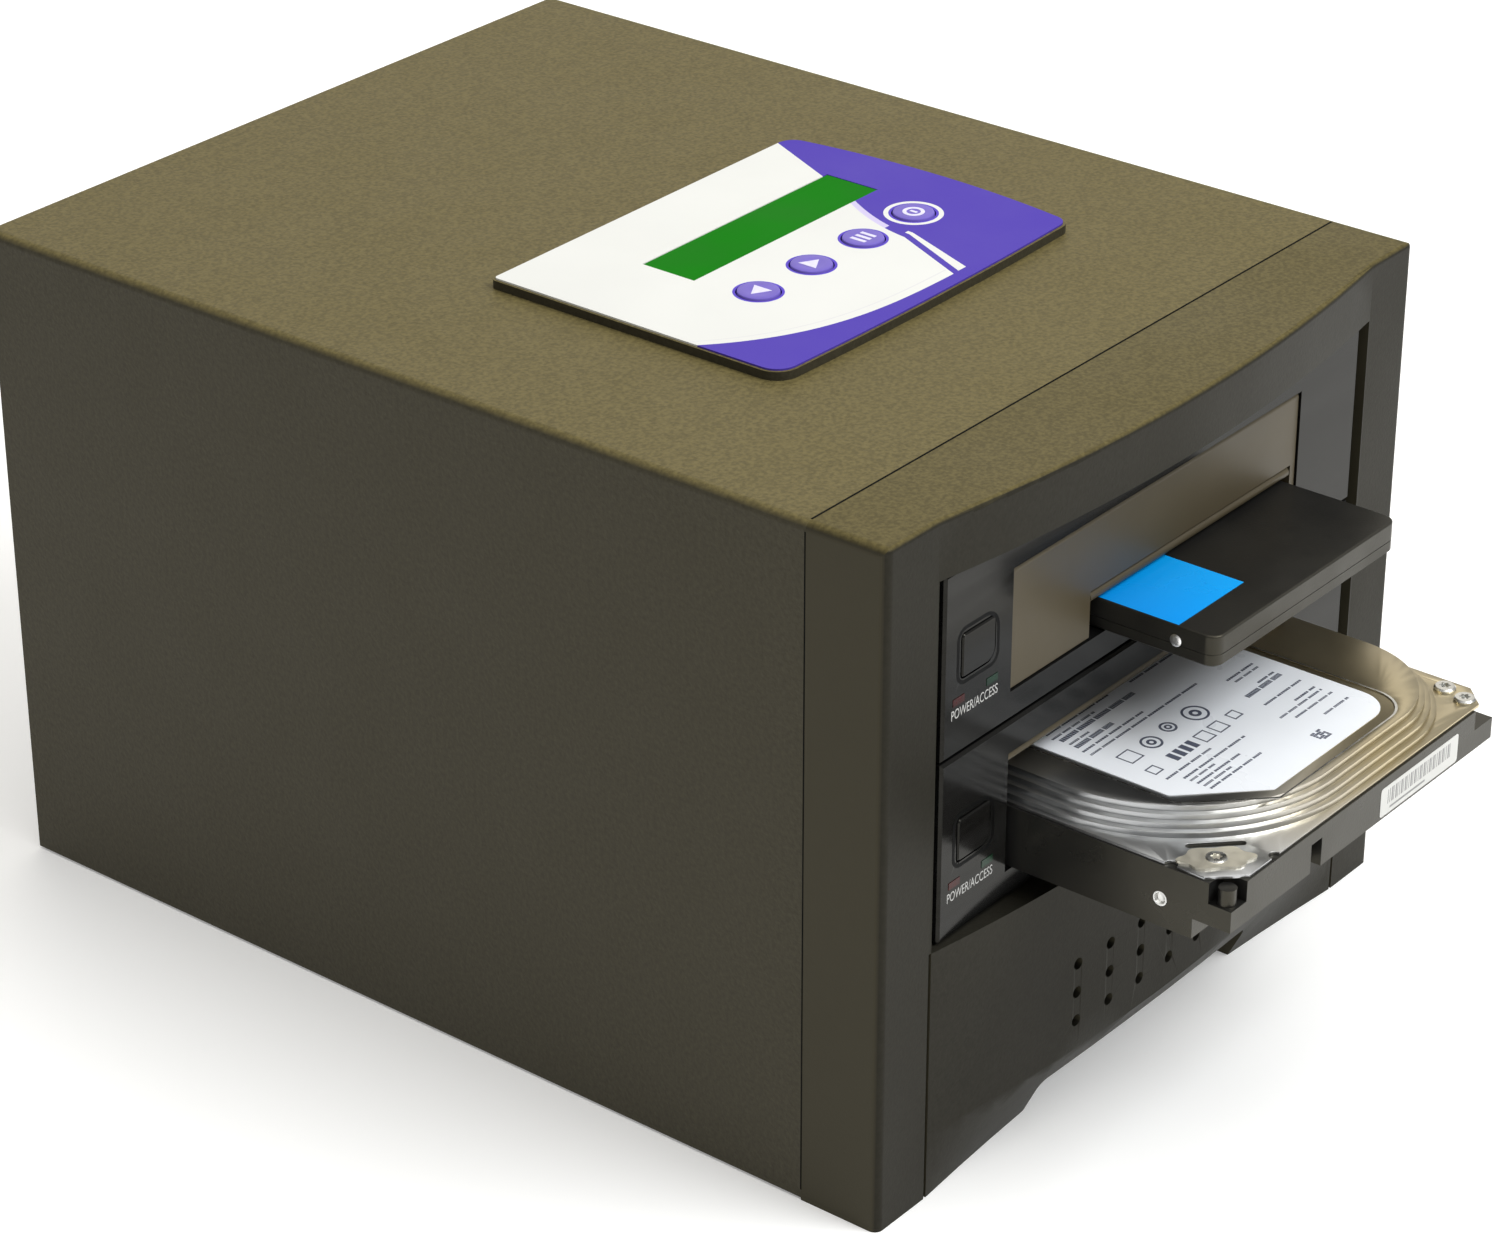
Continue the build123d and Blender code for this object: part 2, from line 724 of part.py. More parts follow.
def dome_outline(inset, low, high):
    """Raised field of the stamped cover, with one large round corner over the platter."""
    left = 1.4 + inset
    right = hdd_width - 1.4 - inset
    front = 1.8 + inset
    back = hdd_length - 8 - inset
    points = [(left, front), (right, front), (right, back), (left, back)]
    face = make_face(Polyline(*points, close=True))
    for x, y, radius in ((left, front, 43.0), (right, front, 27.0),
                         (left, back, 12.0), (right, back, 12.0)):
        corner = face.vertices().sort_by_distance((x, y, 0))[0]
        face = fillet(corner, radius - inset)
    return hdd_place(0, 0, low) * extrude(face, high - low)


def cover_plate_face():
    """Flat flange of the stamped cover: front corners cut off, a slit and two notches around one tab."""
    inset = 0.5
    right = hdd_width - inset
    back = hdd_length - 1.5
    face = make_face(Polyline((inset, 7.0), (7.0, inset), (right - 5.0, inset), (right, 5.5),
                              (right, back), (inset, back), close=True))
    face -= [Pos(x, y) * Circle(1.5) for x, y in ((inset, 15.0), (16.5, inset))]
    return face - Pos(12.6, 12.2) * Rot(0, 0, -45) * SlotOverall(12.5, 1.8)


def make_hdd_cover():
    plate = hdd_place(0, 0, hdd_rim) * extrude(cover_plate_face(), cover_plate)
    step = hdd_rim + cover_plate
    rise = (hdd_height - step) / ridge_count
    for tier in range(ridge_count):
        low = step + tier * rise - (0.2 if tier else 0)
        plate += dome_outline(ridge_inset * tier, low, step + (tier + 1) * rise)
    plate -= label_recess(hdd_height - 0.3, hdd_height + 1, 0.8)
    plate -= dome_outline(ridge_inset * ridge_count, hdd_rim - 1, hdd_height - 0.3 - cover_plate)
    plate -= [hdd_place(x, y, 0) * rod_z(0, 0, 1.6, hdd_rim - 1, hdd_height + 1)
              for x, y in hdd_screw_places()]
    return plate


def label_recess(low, high, grow):
    """Field for the top label: left front corner cut off, right front corner rounded."""
    left = 14.7 - grow
    right = 78.2 + grow
    front = 8.6 - grow
    back = 96.0 + grow
    cut = 15.0
    face = make_face(Polyline((left, front + cut), (left + cut, front), (right, front), (right, back),
                              (left, back), close=True))
    front_right = face.vertices().sort_by(lambda v: v.Y - v.X)[0]
    face = fillet(front_right, 8.0)
    return hdd_place(0, 0, low) * extrude(face, high - low)


def hdd_screw_places():
    """Three in the front tabs, two outside the field's rear corners."""
    return [(7.7, 8.9), (hdd_width - 5.7, 3.9), (hdd_width - 4.0, 9.8), (5.0, hdd_length - 5.5),
            (hdd_width - 5.0, hdd_length - 5.5)]


def make_hdd_screws():
    top = hdd_rim + cover_plate
    screw = rod_z(0, 0, 2.4, top, top + 0.8) + rod_z(0, 0, 1.5, hdd_rim, top)
    return [hdd_place(x, y, 0) * screw for x, y in hdd_screw_places()]


def make_hdd_board():
    back = hdd_length - plug_depth - 0.4
    board = hdd_block((6.3, hdd_width - 6.3), (board_recess_y + 0.3, back), (1.0, board_recess_z))
    start = board_recess_y + 13
    spots = (((22, 38), (start, start + 16)), ((48, 60), (start + 2, start + 12)),
             ((30, 40), (back - 30.6, back - 16)))
    return board + [hdd_block(x, y, (0.2, 1.0)) for x, y in spots]


def make_hdd_plug():
    left, right, low, high = tongue_span(hdd_left)
    plug = hdd_block((left - 4, right + 4), (hdd_length - plug_depth, hdd_length - plug_depth + 1),
                     (low - 0.6, 8.2))
    return plug + hdd_block((left, right), (hdd_length - plug_depth + 1, hdd_length - 0.6), (low, high))


def tongue_span(drive_left):
    """Left, right, low and high of a drive's contact tongue, from the drive's own left side and bottom."""
    half = socket_width / 2 - tongue_inset
    middle = socket_low + socket_height / 2 - hdd_bottom
    x = socket_x - drive_left
    return x - half, x + half, middle - tongue_half, middle + tongue_half


# Solid-state drive

def ssd_place():
    return Pos(ssd_left, ssd_front_y, rack_z(1) + hdd_bottom)


def ssd_outline():
    face = Pos(ssd_width / 2, ssd_length / 2) * Rectangle(ssd_width, ssd_length)
    return fillet(face.vertices(), ssd_corner)


def ssd_plug_pocket():
    left = socket_x - ssd_left - socket_width / 2 - 1
    return block((left, left + socket_width + 2), (ssd_length - plug_depth, ssd_length + 1),
                 (0.6, ssd_height - 1.0))


def make_ssd_shell():
    """Upper half of the drive's case."""
    half = Pos(0, 0, ssd_split) * extrude(ssd_outline(), ssd_height - ssd_split)
    half = fillet(half.faces().sort_by(Axis.Z)[-1].edges(), 0.5)
    half -= block((1.2, ssd_width - 1.2), (1.2, ssd_length - 1.2), (ssd_split - 1, ssd_height - 1.2))
    half -= ssd_plug_pocket()
    return ssd_place() * half


def make_ssd_base():
    """Lower half with the side screw holes, and the board and plug that it carries."""
    half = extrude(ssd_outline(), ssd_split)
    half = chamfer(half.faces().sort_by(Axis.Z)[0].edges(), 0.3)
    half -= ssd_plug_pocket()
    left, right, low, high = tongue_span(ssd_left)
    half += block((left, right), (ssd_length - plug_depth - 0.5, ssd_length - 0.6), (low, high))
    half += block((2.0, ssd_width - 2.0), (30.0, ssd_length - plug_depth), (ssd_split - 0.2, high))
    return ssd_place() * half


# Control panel

def panel_face(inset):
    """Outline with bowed sides and corners of four sizes."""
    left = panel_x - panel_width / 2 + inset
    right = panel_x + panel_width / 2 - inset
    front = panel_y - panel_depth / 2 + inset
    back = panel_y + panel_depth / 2 - inset
    edges = Line((left, back), (left, front))
    edges += ThreePointArc((left, front), (panel_x, front - front_bow), (right, front))
    edges += ThreePointArc((right, front), (right + side_bow, panel_y), (right, back))
    edges += Line((right, back), (left, back))
    face = make_face(edges)
    for x, y, radius in ((left, back, 1.5), (right, back, 5.0), (right, front, 4.0), (left, front, 5.5)):
        corner = face.vertices().sort_by_distance((x, y, 0))[0]
        face = fillet(corner, radius - inset)
    return face


def key_places():
    return [(key_first_x + index * key_pitch, key_row_y) for index in range(key_count)]


def panel_holes():
    """Openings for the display window and the keys."""
    window = block((lcd_x - lcd_width / 2 - lcd_fit, lcd_x + lcd_width / 2 + lcd_fit),
                   (lcd_y - lcd_depth / 2 - lcd_fit, lcd_y + lcd_depth / 2 + lcd_fit),
                   (case_height - 1, film_top + 1))
    keys = [rod_z(x, y, key_radius + key_gap, case_height - 1, film_top + 1) for x, y in key_places()]
    return [window] + keys


def make_panel_plate():
    return Pos(0, 0, case_height) * extrude(panel_face(0), panel_raise) - panel_holes()


def make_film():
    film = extrude(panel_face(film_inset), film_thickness)
    return Pos(0, 0, case_height + panel_raise) * film - panel_holes()


def make_lcd_window():
    return block((lcd_x - lcd_width / 2, lcd_x + lcd_width / 2),
                 (lcd_y - lcd_depth / 2, lcd_y + lcd_depth / 2), (case_height + 0.2, film_top - 0.1))


def make_lcd_module():
    board = key_board_z + board_thickness + 1.3
    half = lcd_width / 2 + 3.75
    reach = lcd_depth / 2 + 8
    module = block((lcd_x - half, lcd_x + half), (lcd_y - reach, lcd_y + reach), (board, board + 1.2))
    module += block((lcd_x - half + 0.5, lcd_x + half - 0.5), (lcd_y - reach + 3, lcd_y + reach - 3),
                    (board + 1.2, case_height))
    return module + block((lcd_x - 20, lcd_x + 20), (lcd_y + reach - 3, lcd_y + reach - 0.5),
                          (key_board_z + board_thickness, board))


def key_board_span():
    half = lcd_width / 2 + 13.75
    return (lcd_x - half, lcd_x + half), (key_row_y - 12, lcd_y + lcd_depth / 2 + 15)


def make_key_board():
    span_x, span_y = key_board_span()
    top = key_board_z + board_thickness
    board = block(span_x, span_y, (key_board_z, top))
    for x, y in key_places():
        board += block((x - 3, x + 3), (y - 3, y + 3), (top, top + tact_height))
    return board


def make_standoffs():
    """Four under the cover for the key board, four on the floor for the controller board."""
    (x_low, x_high), (y_low, y_high) = key_board_span()
    posts = [rod_z(x, y, 2.5, key_board_z + board_thickness, cover_under)
             for x in (x_low + 3, x_high - 3) for y in (y_low + 3, y_high - 3)]
    posts += [rod_z(x, y, 2.5, pan_top, pan_top + standoff_height)
              for x in (controller_left_x + 4, controller_left_x + controller_width - 4)
              for y in (controller_front_y + 4, controller_front_y + controller_length - 4)]
    return posts


def make_key(place):
    x, y = place
    cap = rod_z(x, y, key_radius, case_height, film_top + key_proud)
    cap = fillet(cap.edges().group_by(Axis.Z)[-1], 0.4)
    cap += rod_z(x, y, key_radius + key_flange, case_height - 0.8, case_height)
    stem_low = key_board_z + board_thickness + tact_height + key_travel + 0.1
    return cap + rod_z(x, y, 1.5, stem_low, case_height - 0.8)


# Electronics inside

def make_controller_board():
    low = pan_top + standoff_height
    x = (controller_left_x, controller_left_x + controller_width)
    y = (controller_front_y, controller_front_y + controller_length)
    top = low + board_thickness
    board = block(x, y, (low, top))
    middle = (x[0] + x[1]) / 2
    board += block((middle - 12, middle + 12), (y[0] + 40, y[0] + 64), (top, top + 2.0))
    board += block((middle - 11, middle + 11), (y[0] + 41, y[0] + 63), (top + 2, top + 4.0))
    for fin in range(6):
        fin_x = middle - 11 + fin * 4.1
        board += block((fin_x, fin_x + 1.5), (y[0] + 41, y[0] + 63), (top + 4, top + 12))
    pitch = (controller_width - 5) / 3
    for index in range(3):
        left = x[0] + 5 + index * pitch
        board += block((left, left + pitch - 5), (y[0] + 6, y[0] + 14), (top, top + 9))
    pitch = (controller_width - 8) / 4
    for index in range(4):
        board += rod_z(x[0] + 8 + index * pitch, (y[0] + y[1]) / 2 + 15, 3.2, top, top + 9)
    board += block((x[0] + 10, x[1] - 10), (y[1] - 30, y[1] - 12), (top, top + 5))
    return board


def psu_span():
    x = (psu_left_x, psu_left_x + psu_width)
    return x, (rear_inner_y - psu_length, rear_inner_y), (pan_top, pan_top + psu_height)


def make_psu_case():
    x, y, z = psu_span()
    wall = psu_wall
    case = block(x, y, z)
    case -= block((x[0] + wall, x[1] - wall), (y[0] + wall, y[1] - wall), (z[0] + wall, z[1] - wall))
    back = (y[1] - 2, y[1] + 1)
    case -= block((inlet_x - inlet_width / 2, inlet_x + inlet_width / 2), back,
                  (inlet_z - inlet_height / 2, inlet_z + inlet_height / 2))
    case -= block((rocker_x - rocker_width / 2, rocker_x + rocker_width / 2), back,
                  (rocker_z - rocker_height / 2, rocker_z + rocker_height / 2))
    case -= rod_y(small_fan_x, small_fan_z, small_fan_size / 2 - 1.8, *back)
    face = (y[1] - wall, y[1])
    for radius in (6.0, 12.0):
        ring = rod_y(small_fan_x, small_fan_z, radius, *face)
        case += ring - rod_y(small_fan_x, small_fan_z, radius - 1.4, *face)
    for turn in (45, 135):
        bars = Box(small_fan_size - 3, wall, 1.6) - Box(9.4, wall, 1.6)
        case += Pos(small_fan_x, y[1] - wall / 2, small_fan_z) * Rot(0, turn, 0) * bars
    case -= [rod_y(x_hole, z_hole, screw_radius + screw_clearance, *back)
             for x_hole, z_hole in small_screw_places()]
    slots = [block((x[0] + 10 + i * 8, x[0] + 13 + i * 8), (y[0] - 1, y[0] + 2), (z[0] + 8, z[1] - 8))
             for i in range(8)]
    return case - slots


def small_screw_places():
    return [(small_fan_x + i * small_fan_half_pitch, small_fan_z + j * small_fan_half_pitch)
            for i in (-1, 1) for j in (-1, 1)]


def make_rocker_housing():
    """Snap-in frame of the mains switch."""
    half_x = rocker_width / 2
    half_z = rocker_height / 2
    body = block((rocker_x - half_x + 0.1, rocker_x + half_x - 0.1), (rear_inner_y - 11, rear_inner_y),
                 (rocker_z - half_z + 0.1, rocker_z + half_z - 0.1))
    body += block((rocker_x - half_x - 1.2, rocker_x + half_x + 1.2), (rear_inner_y, rear_face_y + 0.6),
                  (rocker_z - half_z - 1.2, rocker_z + half_z + 1.2))
    inner_x = half_x - 0.85
    inner_z = half_z - 1.45
    body -= block((rocker_x - inner_x, rocker_x + inner_x), (rear_inner_y - 6, rear_face_y + 2),
                  (rocker_z - inner_z, rocker_z + inner_z))
    return body - rod_z(rocker_x, rocker_axis_y, rocker_pivot + running_fit,
                        rocker_z - half_z + 0.6, rocker_z + half_z - 0.6)


def make_rocker():
    """Rocker with a shallow V front, one end pressed in."""
    reach = rocker_width / 2 - 0.85 - rocker_play
    half_z = rocker_height / 2 - 1.8
    profile = Polyline((-reach + 1.2, -3.4), (reach - 1.2, -3.4), (reach, 3.2), (0, 2.0), (-reach, 3.2),
                       close=True)
    rocker = Pos(0, 0, -half_z) * extrude(make_face(profile), 2 * half_z)
    rocker += Cylinder(rocker_pivot, 2 * half_z + 1.6)
    return Pos(rocker_x, rocker_axis_y, rocker_z) * Rot(0, 0, rocker_tilt) * rocker


def make_inlet():
    """Appliance inlet with its recess and three blades."""
    front = rear_face_y + inlet_lip
    body = block((inlet_x - inlet_half, inlet_x + inlet_half), (rear_inner_y - 14, rear_inner_y),
                 (inlet_z - inlet_height / 2 + inlet_fit, inlet_z + inlet_height / 2 - inlet_fit))
    body += block((inlet_x - inlet_width / 2 - 1.6, inlet_x + inlet_width / 2 + 1.6),
                  (rear_inner_y, front),
                  (inlet_z - inlet_height / 2 - 1.4, inlet_z + inlet_height / 2 + 1.4))
    half_x = inlet_width / 2 - inlet_wall
    half_z = inlet_height / 2 - inlet_wall
    recess = block((inlet_x - half_x, inlet_x + half_x), (rear_inner_y - 12, front + 1),
                   (inlet_z - half_z, inlet_z + half_z))
    recess = chamfer(recess.edges().filter_by(Axis.Y).group_by(Axis.Z)[-1], 4.0)
    body -= recess
    for x, z in ((-7.0, -2.0), (7.0, -2.0), (0.0, 2.0)):
        body += block((inlet_x + x - 1.0, inlet_x + x + 1.0), (rear_inner_y - 12.5, rear_inner_y - 1),
                      (inlet_z + z - 2.0, inlet_z + z + 2.0))
    return body


def fan_screw_places():
    return [(x * fan_hole_half_pitch, fan_z + z * fan_hole_half_pitch) for x in (-1, 1) for z in (-1, 1)]


def fan_frame(x, z, size, depth, back_y, half_pitch, bore, hub, hole):
    """Square fan frame: round duct, four struts and the motor plate, holes in the corners."""
    front = back_y - depth
    frame = Pos(x, (front + back_y) / 2, z) * Box(size, depth, size)
    frame = fillet(frame.edges().filter_by(Axis.Y), size / 20)
    frame -= rod_y(x, z, bore, front - 1, back_y + 1)
    plate = rod_y(x, z, hub, front, front + 2)
    for turn in (45, 135):
        strut = Pos(x, front + 1, z) * Rot(0, turn, 0) * Box(2 * bore + 1, 2, size / 20)
        plate += strut
    frame += plate
    holes = [rod_y(x + i * half_pitch, z + j * half_pitch, hole, front - 1, back_y + 1)
             for i in (-1, 1) for j in (-1, 1)]
    return frame - holes


def fan_rotor(x, z, back_y, depth, bore, hub, tip_gap):
    """Hub cup and pitched blades."""
    front = back_y - depth + 2.6
    rotor = rod_y(x, z, hub, front, back_y - 1.5)
    rotor = fillet(rotor.edges().sort_by(Axis.Y)[-1:], 1.0)
    reach = bore - tip_gap
    trim = rod_y(x, z, reach, front, back_y)
    for index in range(blade_count):
        blade = Box(reach, 1.4, depth * 0.82)
        blade = Pos(reach / 2 + hub / 2, 0, 0) * Rot(52, 0, 0) * blade
        blade = Pos(x, (front + back_y - 1.5) / 2, z) * Rot(0, index * 360 / blade_count, 0) * blade
        rotor += blade & (trim & block((x - 60, x + 60), (front + 0.4, back_y - 2), (z - 60, z + 60)))
    return rotor


def make_guard():
    """Wire guard over the rear fan: rings laid on four radial wires that end in flattened screw eyes."""
    wire_y = lip_front_y + guard_wire
    ring_y = wire_y + 1.5 * guard_wire
    reach = math.hypot(fan_hole_half_pitch, fan_hole_half_pitch) - screw_head_radius - screw_clearance
    guard = rod_y(0, fan_z, 2.4, wire_y - 1.2 * guard_wire, wire_y + 1.2 * guard_wire)
    for turn in (45, 135, 225, 315):
        wire = Pos((reach + 1) / 2, 0, 0) * Rot(0, 90, 0) * Cylinder(guard_wire, reach - 1)
        guard += Pos(0, wire_y, fan_z) * Rot(0, turn, 0) * wire
    for x, z in fan_screw_places():
        guard += rod_y(x, z, 3.6, lip_front_y, wire_y + 0.6 * guard_wire)
    for radius in guard_rings:
        guard += Pos(0, ring_y, fan_z) * Rot(90, 0, 0) * Torus(radius, guard_wire)
    return guard - [rod_y(x, z, screw_radius + screw_clearance, 0, 300) for x, z in fan_screw_places()]


def make_fan_screws():
    return [rod_y(x, z, screw_radius, rear_inner_y - fan_depth + 4, guard_back_y)
            + rod_y(x, z, screw_head_radius, guard_back_y, screw_back_y) for x, z in fan_screw_places()]


def make_small_fan_screws():
    return [rod_y(x, z, screw_radius, rear_inner_y - psu_wall - small_fan_depth + 2, rear_inner_y)
            + rod_y(x, z, screw_head_radius - 0.4, rear_inner_y, rear_inner_y + screw_head - 0.4)
            for x, z in small_screw_places()]


# Every node by name
nodes = {
    "chassis_pan": make_pan(),
    "front_plate": make_front_plate(),
    "rear_panel": make_rear_panel(),
    "top_cover": make_cover(),
    "front_bezel": make_bezel(),
    "rubber_feet": make_feet(),
    "cover_screws": make_cover_screws(),
    "left_bay_bracket": make_bracket(-1),
    "right_bay_bracket": make_bracket(1),
    "rack_screws": make_rack_screws(),
    "control_plate": make_panel_plate(),
    "control_film": make_film(),
    "lcd_window": make_lcd_window(),
    "lcd_module": make_lcd_module(),
    "key_board": make_key_board(),
    "board_standoffs": make_standoffs(),
    "controller_board": make_controller_board(),
    "psu_case": make_psu_case(),
    "power_inlet": make_inlet(),
    "rocker_housing": make_rocker_housing(),
    "power_rocker": make_rocker(),
    "psu_fan_frame": fan_frame(small_fan_x, small_fan_z, small_fan_size, small_fan_depth,
                               rear_inner_y - psu_wall, small_fan_half_pitch, small_bore, small_hub,
                               screw_radius + screw_clearance),
    "psu_fan_rotor": fan_rotor(small_fan_x, small_fan_z, rear_inner_y - psu_wall, small_fan_depth,
                               small_bore, small_hub, small_tip_gap),
    "rear_fan_frame": fan_frame(0, fan_z, fan_size, fan_depth, rear_inner_y, fan_hole_half_pitch,
                                fan_bore, hub_radius, screw_radius + screw_clearance),
    "rear_fan_rotor": fan_rotor(0, fan_z, rear_inner_y, fan_depth, fan_bore, hub_radius, fan_tip_gap),
    "rear_fan_guard": make_guard(),
    "fan_screws": make_fan_screws() + make_small_fan_screws(),
    "hdd_base": make_hdd_base(),
    "hdd_cover": make_hdd_cover(),
    "hdd_screws": make_hdd_screws(),
    "hdd_board": make_hdd_board(),
    "hdd_plug": make_hdd_plug(),
    "ssd_shell": make_ssd_shell(),
    "ssd_base": make_ssd_base(),
}
for index, place in enumerate(key_places()):
    nodes[f"key_{index + 1}"] = make_key(place)
for rack, side in enumerate(("lower", "upper")):
    nodes[f"{side}_rack_shell"] = make_rack_shell(rack)
    nodes[f"{side}_faceplate"] = make_faceplate(rack)
    nodes[f"{side}_backplane"] = make_backplane(rack)
    nodes[f"{side}_sata_socket"] = make_socket(rack)
    nodes[f"{side}_switch_board"] = make_switch_board(rack)
    nodes[f"{side}_red_lens"] = make_lens(rack, red_lens_x)
    nodes[f"{side}_green_lens"] = make_lens(rack, green_lens_x)
    nodes[f"{side}_flap"] = make_flap(rack)
    nodes[f"{side}_slim_flap"] = make_slim_flap(rack)
    nodes[f"{side}_flap_pin"] = make_flap_pin(rack)
    nodes[f"{side}_power_button"] = make_button(rack)

# The origin goes to the middle of the whole outline, on the table
shift_y = -(hdd_front_y + screw_back_y) / 2
os.makedirs("parts", exist_ok=True)
for name, shape in nodes.items():
    solids = shape if isinstance(shape, list) else [shape]
    moved = Pos(0, shift_y, 0) * Compound(children=[s for shape in solids for s in shape.solids()])
    export_step(moved, f"parts/{name}.step")

# Places that the joints and mounts use, in the finished frame
slim_arm = flap_axis_z - slim_axis_z
places = {
    "shift_y": shift_y,
    "flap_axis_y": flap_mid_y + shift_y,
    "upper_flap_z": rack_z(1) + flap_axis_z,
    "lower_flap_z": rack_z(0) + flap_axis_z,
    "upper_slim_z": rack_z(1) + slim_axis_z,
    "lower_slim_y": flap_mid_y + shift_y + slim_arm * math.sin(math.radians(lower_rest)),
    "lower_slim_z": rack_z(0) + flap_axis_z - slim_arm * math.cos(math.radians(lower_rest)),
    "upper_flap_range": upper_flap_turn,
    "lower_flap_range": flap_full_turn - lower_rest,
    "upper_slim_range": slim_full_turn - slim_rest,
    "lower_slim_range": lower_slim_turn,
    "hdd_push": hdd_push,
    "hdd_pull": hdd_pull,
    "ssd_push": ssd_push,
    "ssd_pull": ssd_pull,
    "button_travel": button_travel,
    "key_travel": key_travel,
    "rocker_x": rocker_x,
    "rocker_y": rocker_axis_y + shift_y,
    "rocker_z": rocker_z,
    "rocker_tilt": rocker_tilt,
    "fan_z": fan_z,
    "fan_y": rear_inner_y + shift_y,
    "small_fan_x": small_fan_x,
    "small_fan_z": small_fan_z,
    "inlet_x": inlet_x,
    "inlet_y": rear_face_y + inlet_lip + shift_y,
    "inlet_z": inlet_z,
    "foot_x": half_width - rubber_foot_inset,
    "foot_y": rear_face_y - rubber_foot_inset + shift_y,
}
for name, value in places.items():
    print("place", name, round(value, 4))
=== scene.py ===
import math

import bmesh
import bpy
from mathutils import Matrix, Vector


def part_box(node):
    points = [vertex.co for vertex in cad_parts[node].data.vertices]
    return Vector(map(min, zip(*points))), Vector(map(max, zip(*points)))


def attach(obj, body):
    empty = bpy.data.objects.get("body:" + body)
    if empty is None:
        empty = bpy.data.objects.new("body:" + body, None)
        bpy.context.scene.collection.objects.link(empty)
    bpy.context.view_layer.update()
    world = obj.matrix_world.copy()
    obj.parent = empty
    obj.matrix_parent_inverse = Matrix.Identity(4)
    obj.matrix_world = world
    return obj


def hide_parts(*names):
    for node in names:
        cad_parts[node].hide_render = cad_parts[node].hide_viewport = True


bl_info = {
    "name": "Hard Drive Duplicator",
    "version": (1, 0, 0),
    "blender": (4, 5, 0),
    "location": "3D View > Sidebar > Duplicator",
    "description": "Finishes a small drive duplicator: painted case, racks, two drives and the control panel",
    "category": "Object",
}

MM = 0.001
FULL_TURN = 2 * math.pi

# Colour of the glint on rough black paint and plastic
WARM_SHEEN = (1.0, 0.92, 0.68, 1.0)

# How far a drawn joint line reaches below and above the surface that it lies on
LINE_DEPTH = (-0.01 * MM, 0.02 * MM)

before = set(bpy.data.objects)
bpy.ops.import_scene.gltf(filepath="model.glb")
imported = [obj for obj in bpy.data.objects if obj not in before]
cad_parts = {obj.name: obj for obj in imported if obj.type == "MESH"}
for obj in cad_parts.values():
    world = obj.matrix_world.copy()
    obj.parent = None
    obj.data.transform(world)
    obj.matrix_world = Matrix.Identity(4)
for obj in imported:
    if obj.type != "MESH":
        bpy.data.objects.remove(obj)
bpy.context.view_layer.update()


# Settings that a user would change

def colour_setting(name, description, default):
    return bpy.props.FloatVectorProperty(name=name, description=description, default=default,
                                         subtype="COLOR", size=3, min=0.0, max=1.0)


def length_setting(name, description, default):
    return bpy.props.FloatProperty(name=name, description=description, default=default,
                                   min=0.0, unit="LENGTH")


class CaseSettings(bpy.types.PropertyGroup):
    """Steel case and moulded front."""
    edge: length_setting("Edge", "Width of the softened edges of sheet and mouldings", 0.35 * MM)
    # Paint and top are one paint in two tones: top is painted light from above, used where the cover and the
    # bezel look up
    paint: colour_setting("Paint", "Colour of the textured cover's upright faces", (0.040, 0.036, 0.024))
    top: colour_setting("Top", "Colour of the cover and the bezel where they look up", (0.112, 0.091, 0.036))
    bezel: colour_setting("Bezel", "Colour of the moulded front", (0.0200, 0.0188, 0.0148))
    zinc: colour_setting("Zinc", "Colour of the plated inner sheet", (0.52, 0.53, 0.53))
    rubber: colour_setting("Rubber", "Colour of the feet", (0.018, 0.018, 0.018))


class RackSettings(bpy.types.PropertyGroup):
    """Drive racks."""
    face: colour_setting("Face", "Colour of the polished faceplates", (0.006, 0.006, 0.006))
    flap: colour_setting("Flap", "Colour of the flaps", (0.072, 0.058, 0.034))
    print_colour: colour_setting("Print", "Colour of the printed marks", (0.42, 0.42, 0.41))
    red: colour_setting("Red lens", "Colour of the unlit red lens", (0.040, 0.004, 0.003))
    green: colour_setting("Green lens", "Colour of the unlit green lens", (0.005, 0.026, 0.012))


class DriveSettings(bpy.types.PropertyGroup):
    """The two drives."""
    # The lid's two colours are a painted reflection, cool on its left and warm on its right
    steel: colour_setting("Steel", "Colour of the stamped lid on its right", (0.60, 0.52, 0.35))
    cool_reflection: colour_setting("Cool steel", "Colour of the stamped lid on its left", (0.50, 0.51, 0.52))
    casting: colour_setting("Casting", "Colour of the coated casting", (0.012, 0.012, 0.012))
    paper: colour_setting("Label", "Colour of the lid's paper label", (0.80, 0.83, 0.88))
    ink: colour_setting("Ink", "Colour of the printed bars", (0.075, 0.085, 0.125))
    slim: colour_setting("Slim case", "Colour of the slim drive", (0.010, 0.010, 0.010))
    blue: colour_setting("Blue", "Colour of the slim drive's label", (0.002, 0.30, 0.86))


class PanelSettings(bpy.types.PropertyGroup):
    """Control panel."""
    white: colour_setting("Field", "Colour of the film's pale field", (0.68, 0.685, 0.665))
    violet: colour_setting("Violet", "Colour of the film's bands and rings", (0.074, 0.045, 0.37))
    green: colour_setting("Display", "Colour of the display window", (0.002, 0.145, 0.001))


class StageSettings(bpy.types.PropertyGroup):
    """Floor, light and camera."""
    floor: colour_setting("Floor", "Colour of the floor", (0.92, 0.92, 0.92))
    lens: bpy.props.FloatProperty(name="Lens", description="Focal length on a 36 mm sensor",
                                  default=106.87, min=10.0, unit="CAMERA")
    light: bpy.props.FloatProperty(name="Light", description="Strength of the soft boxes",
                                   default=1.0, min=0.0)


SETTINGS = {
    "duplicator_case": CaseSettings,
    "duplicator_rack": RackSettings,
    "duplicator_drive": DriveSettings,
    "duplicator_panel": PanelSettings,
    "duplicator_stage": StageSettings,
}


# Shader nodes

def node(material, kind, inputs=None, **properties):
    made = material.node_tree.nodes.new(kind)
    for key, value in properties.items():
        setattr(made, key, value)
    for key, value in (inputs or {}).items():
        made.inputs[key].default_value = value
    return made


def wire(material, source, target):
    material.node_tree.links.new(source, target)


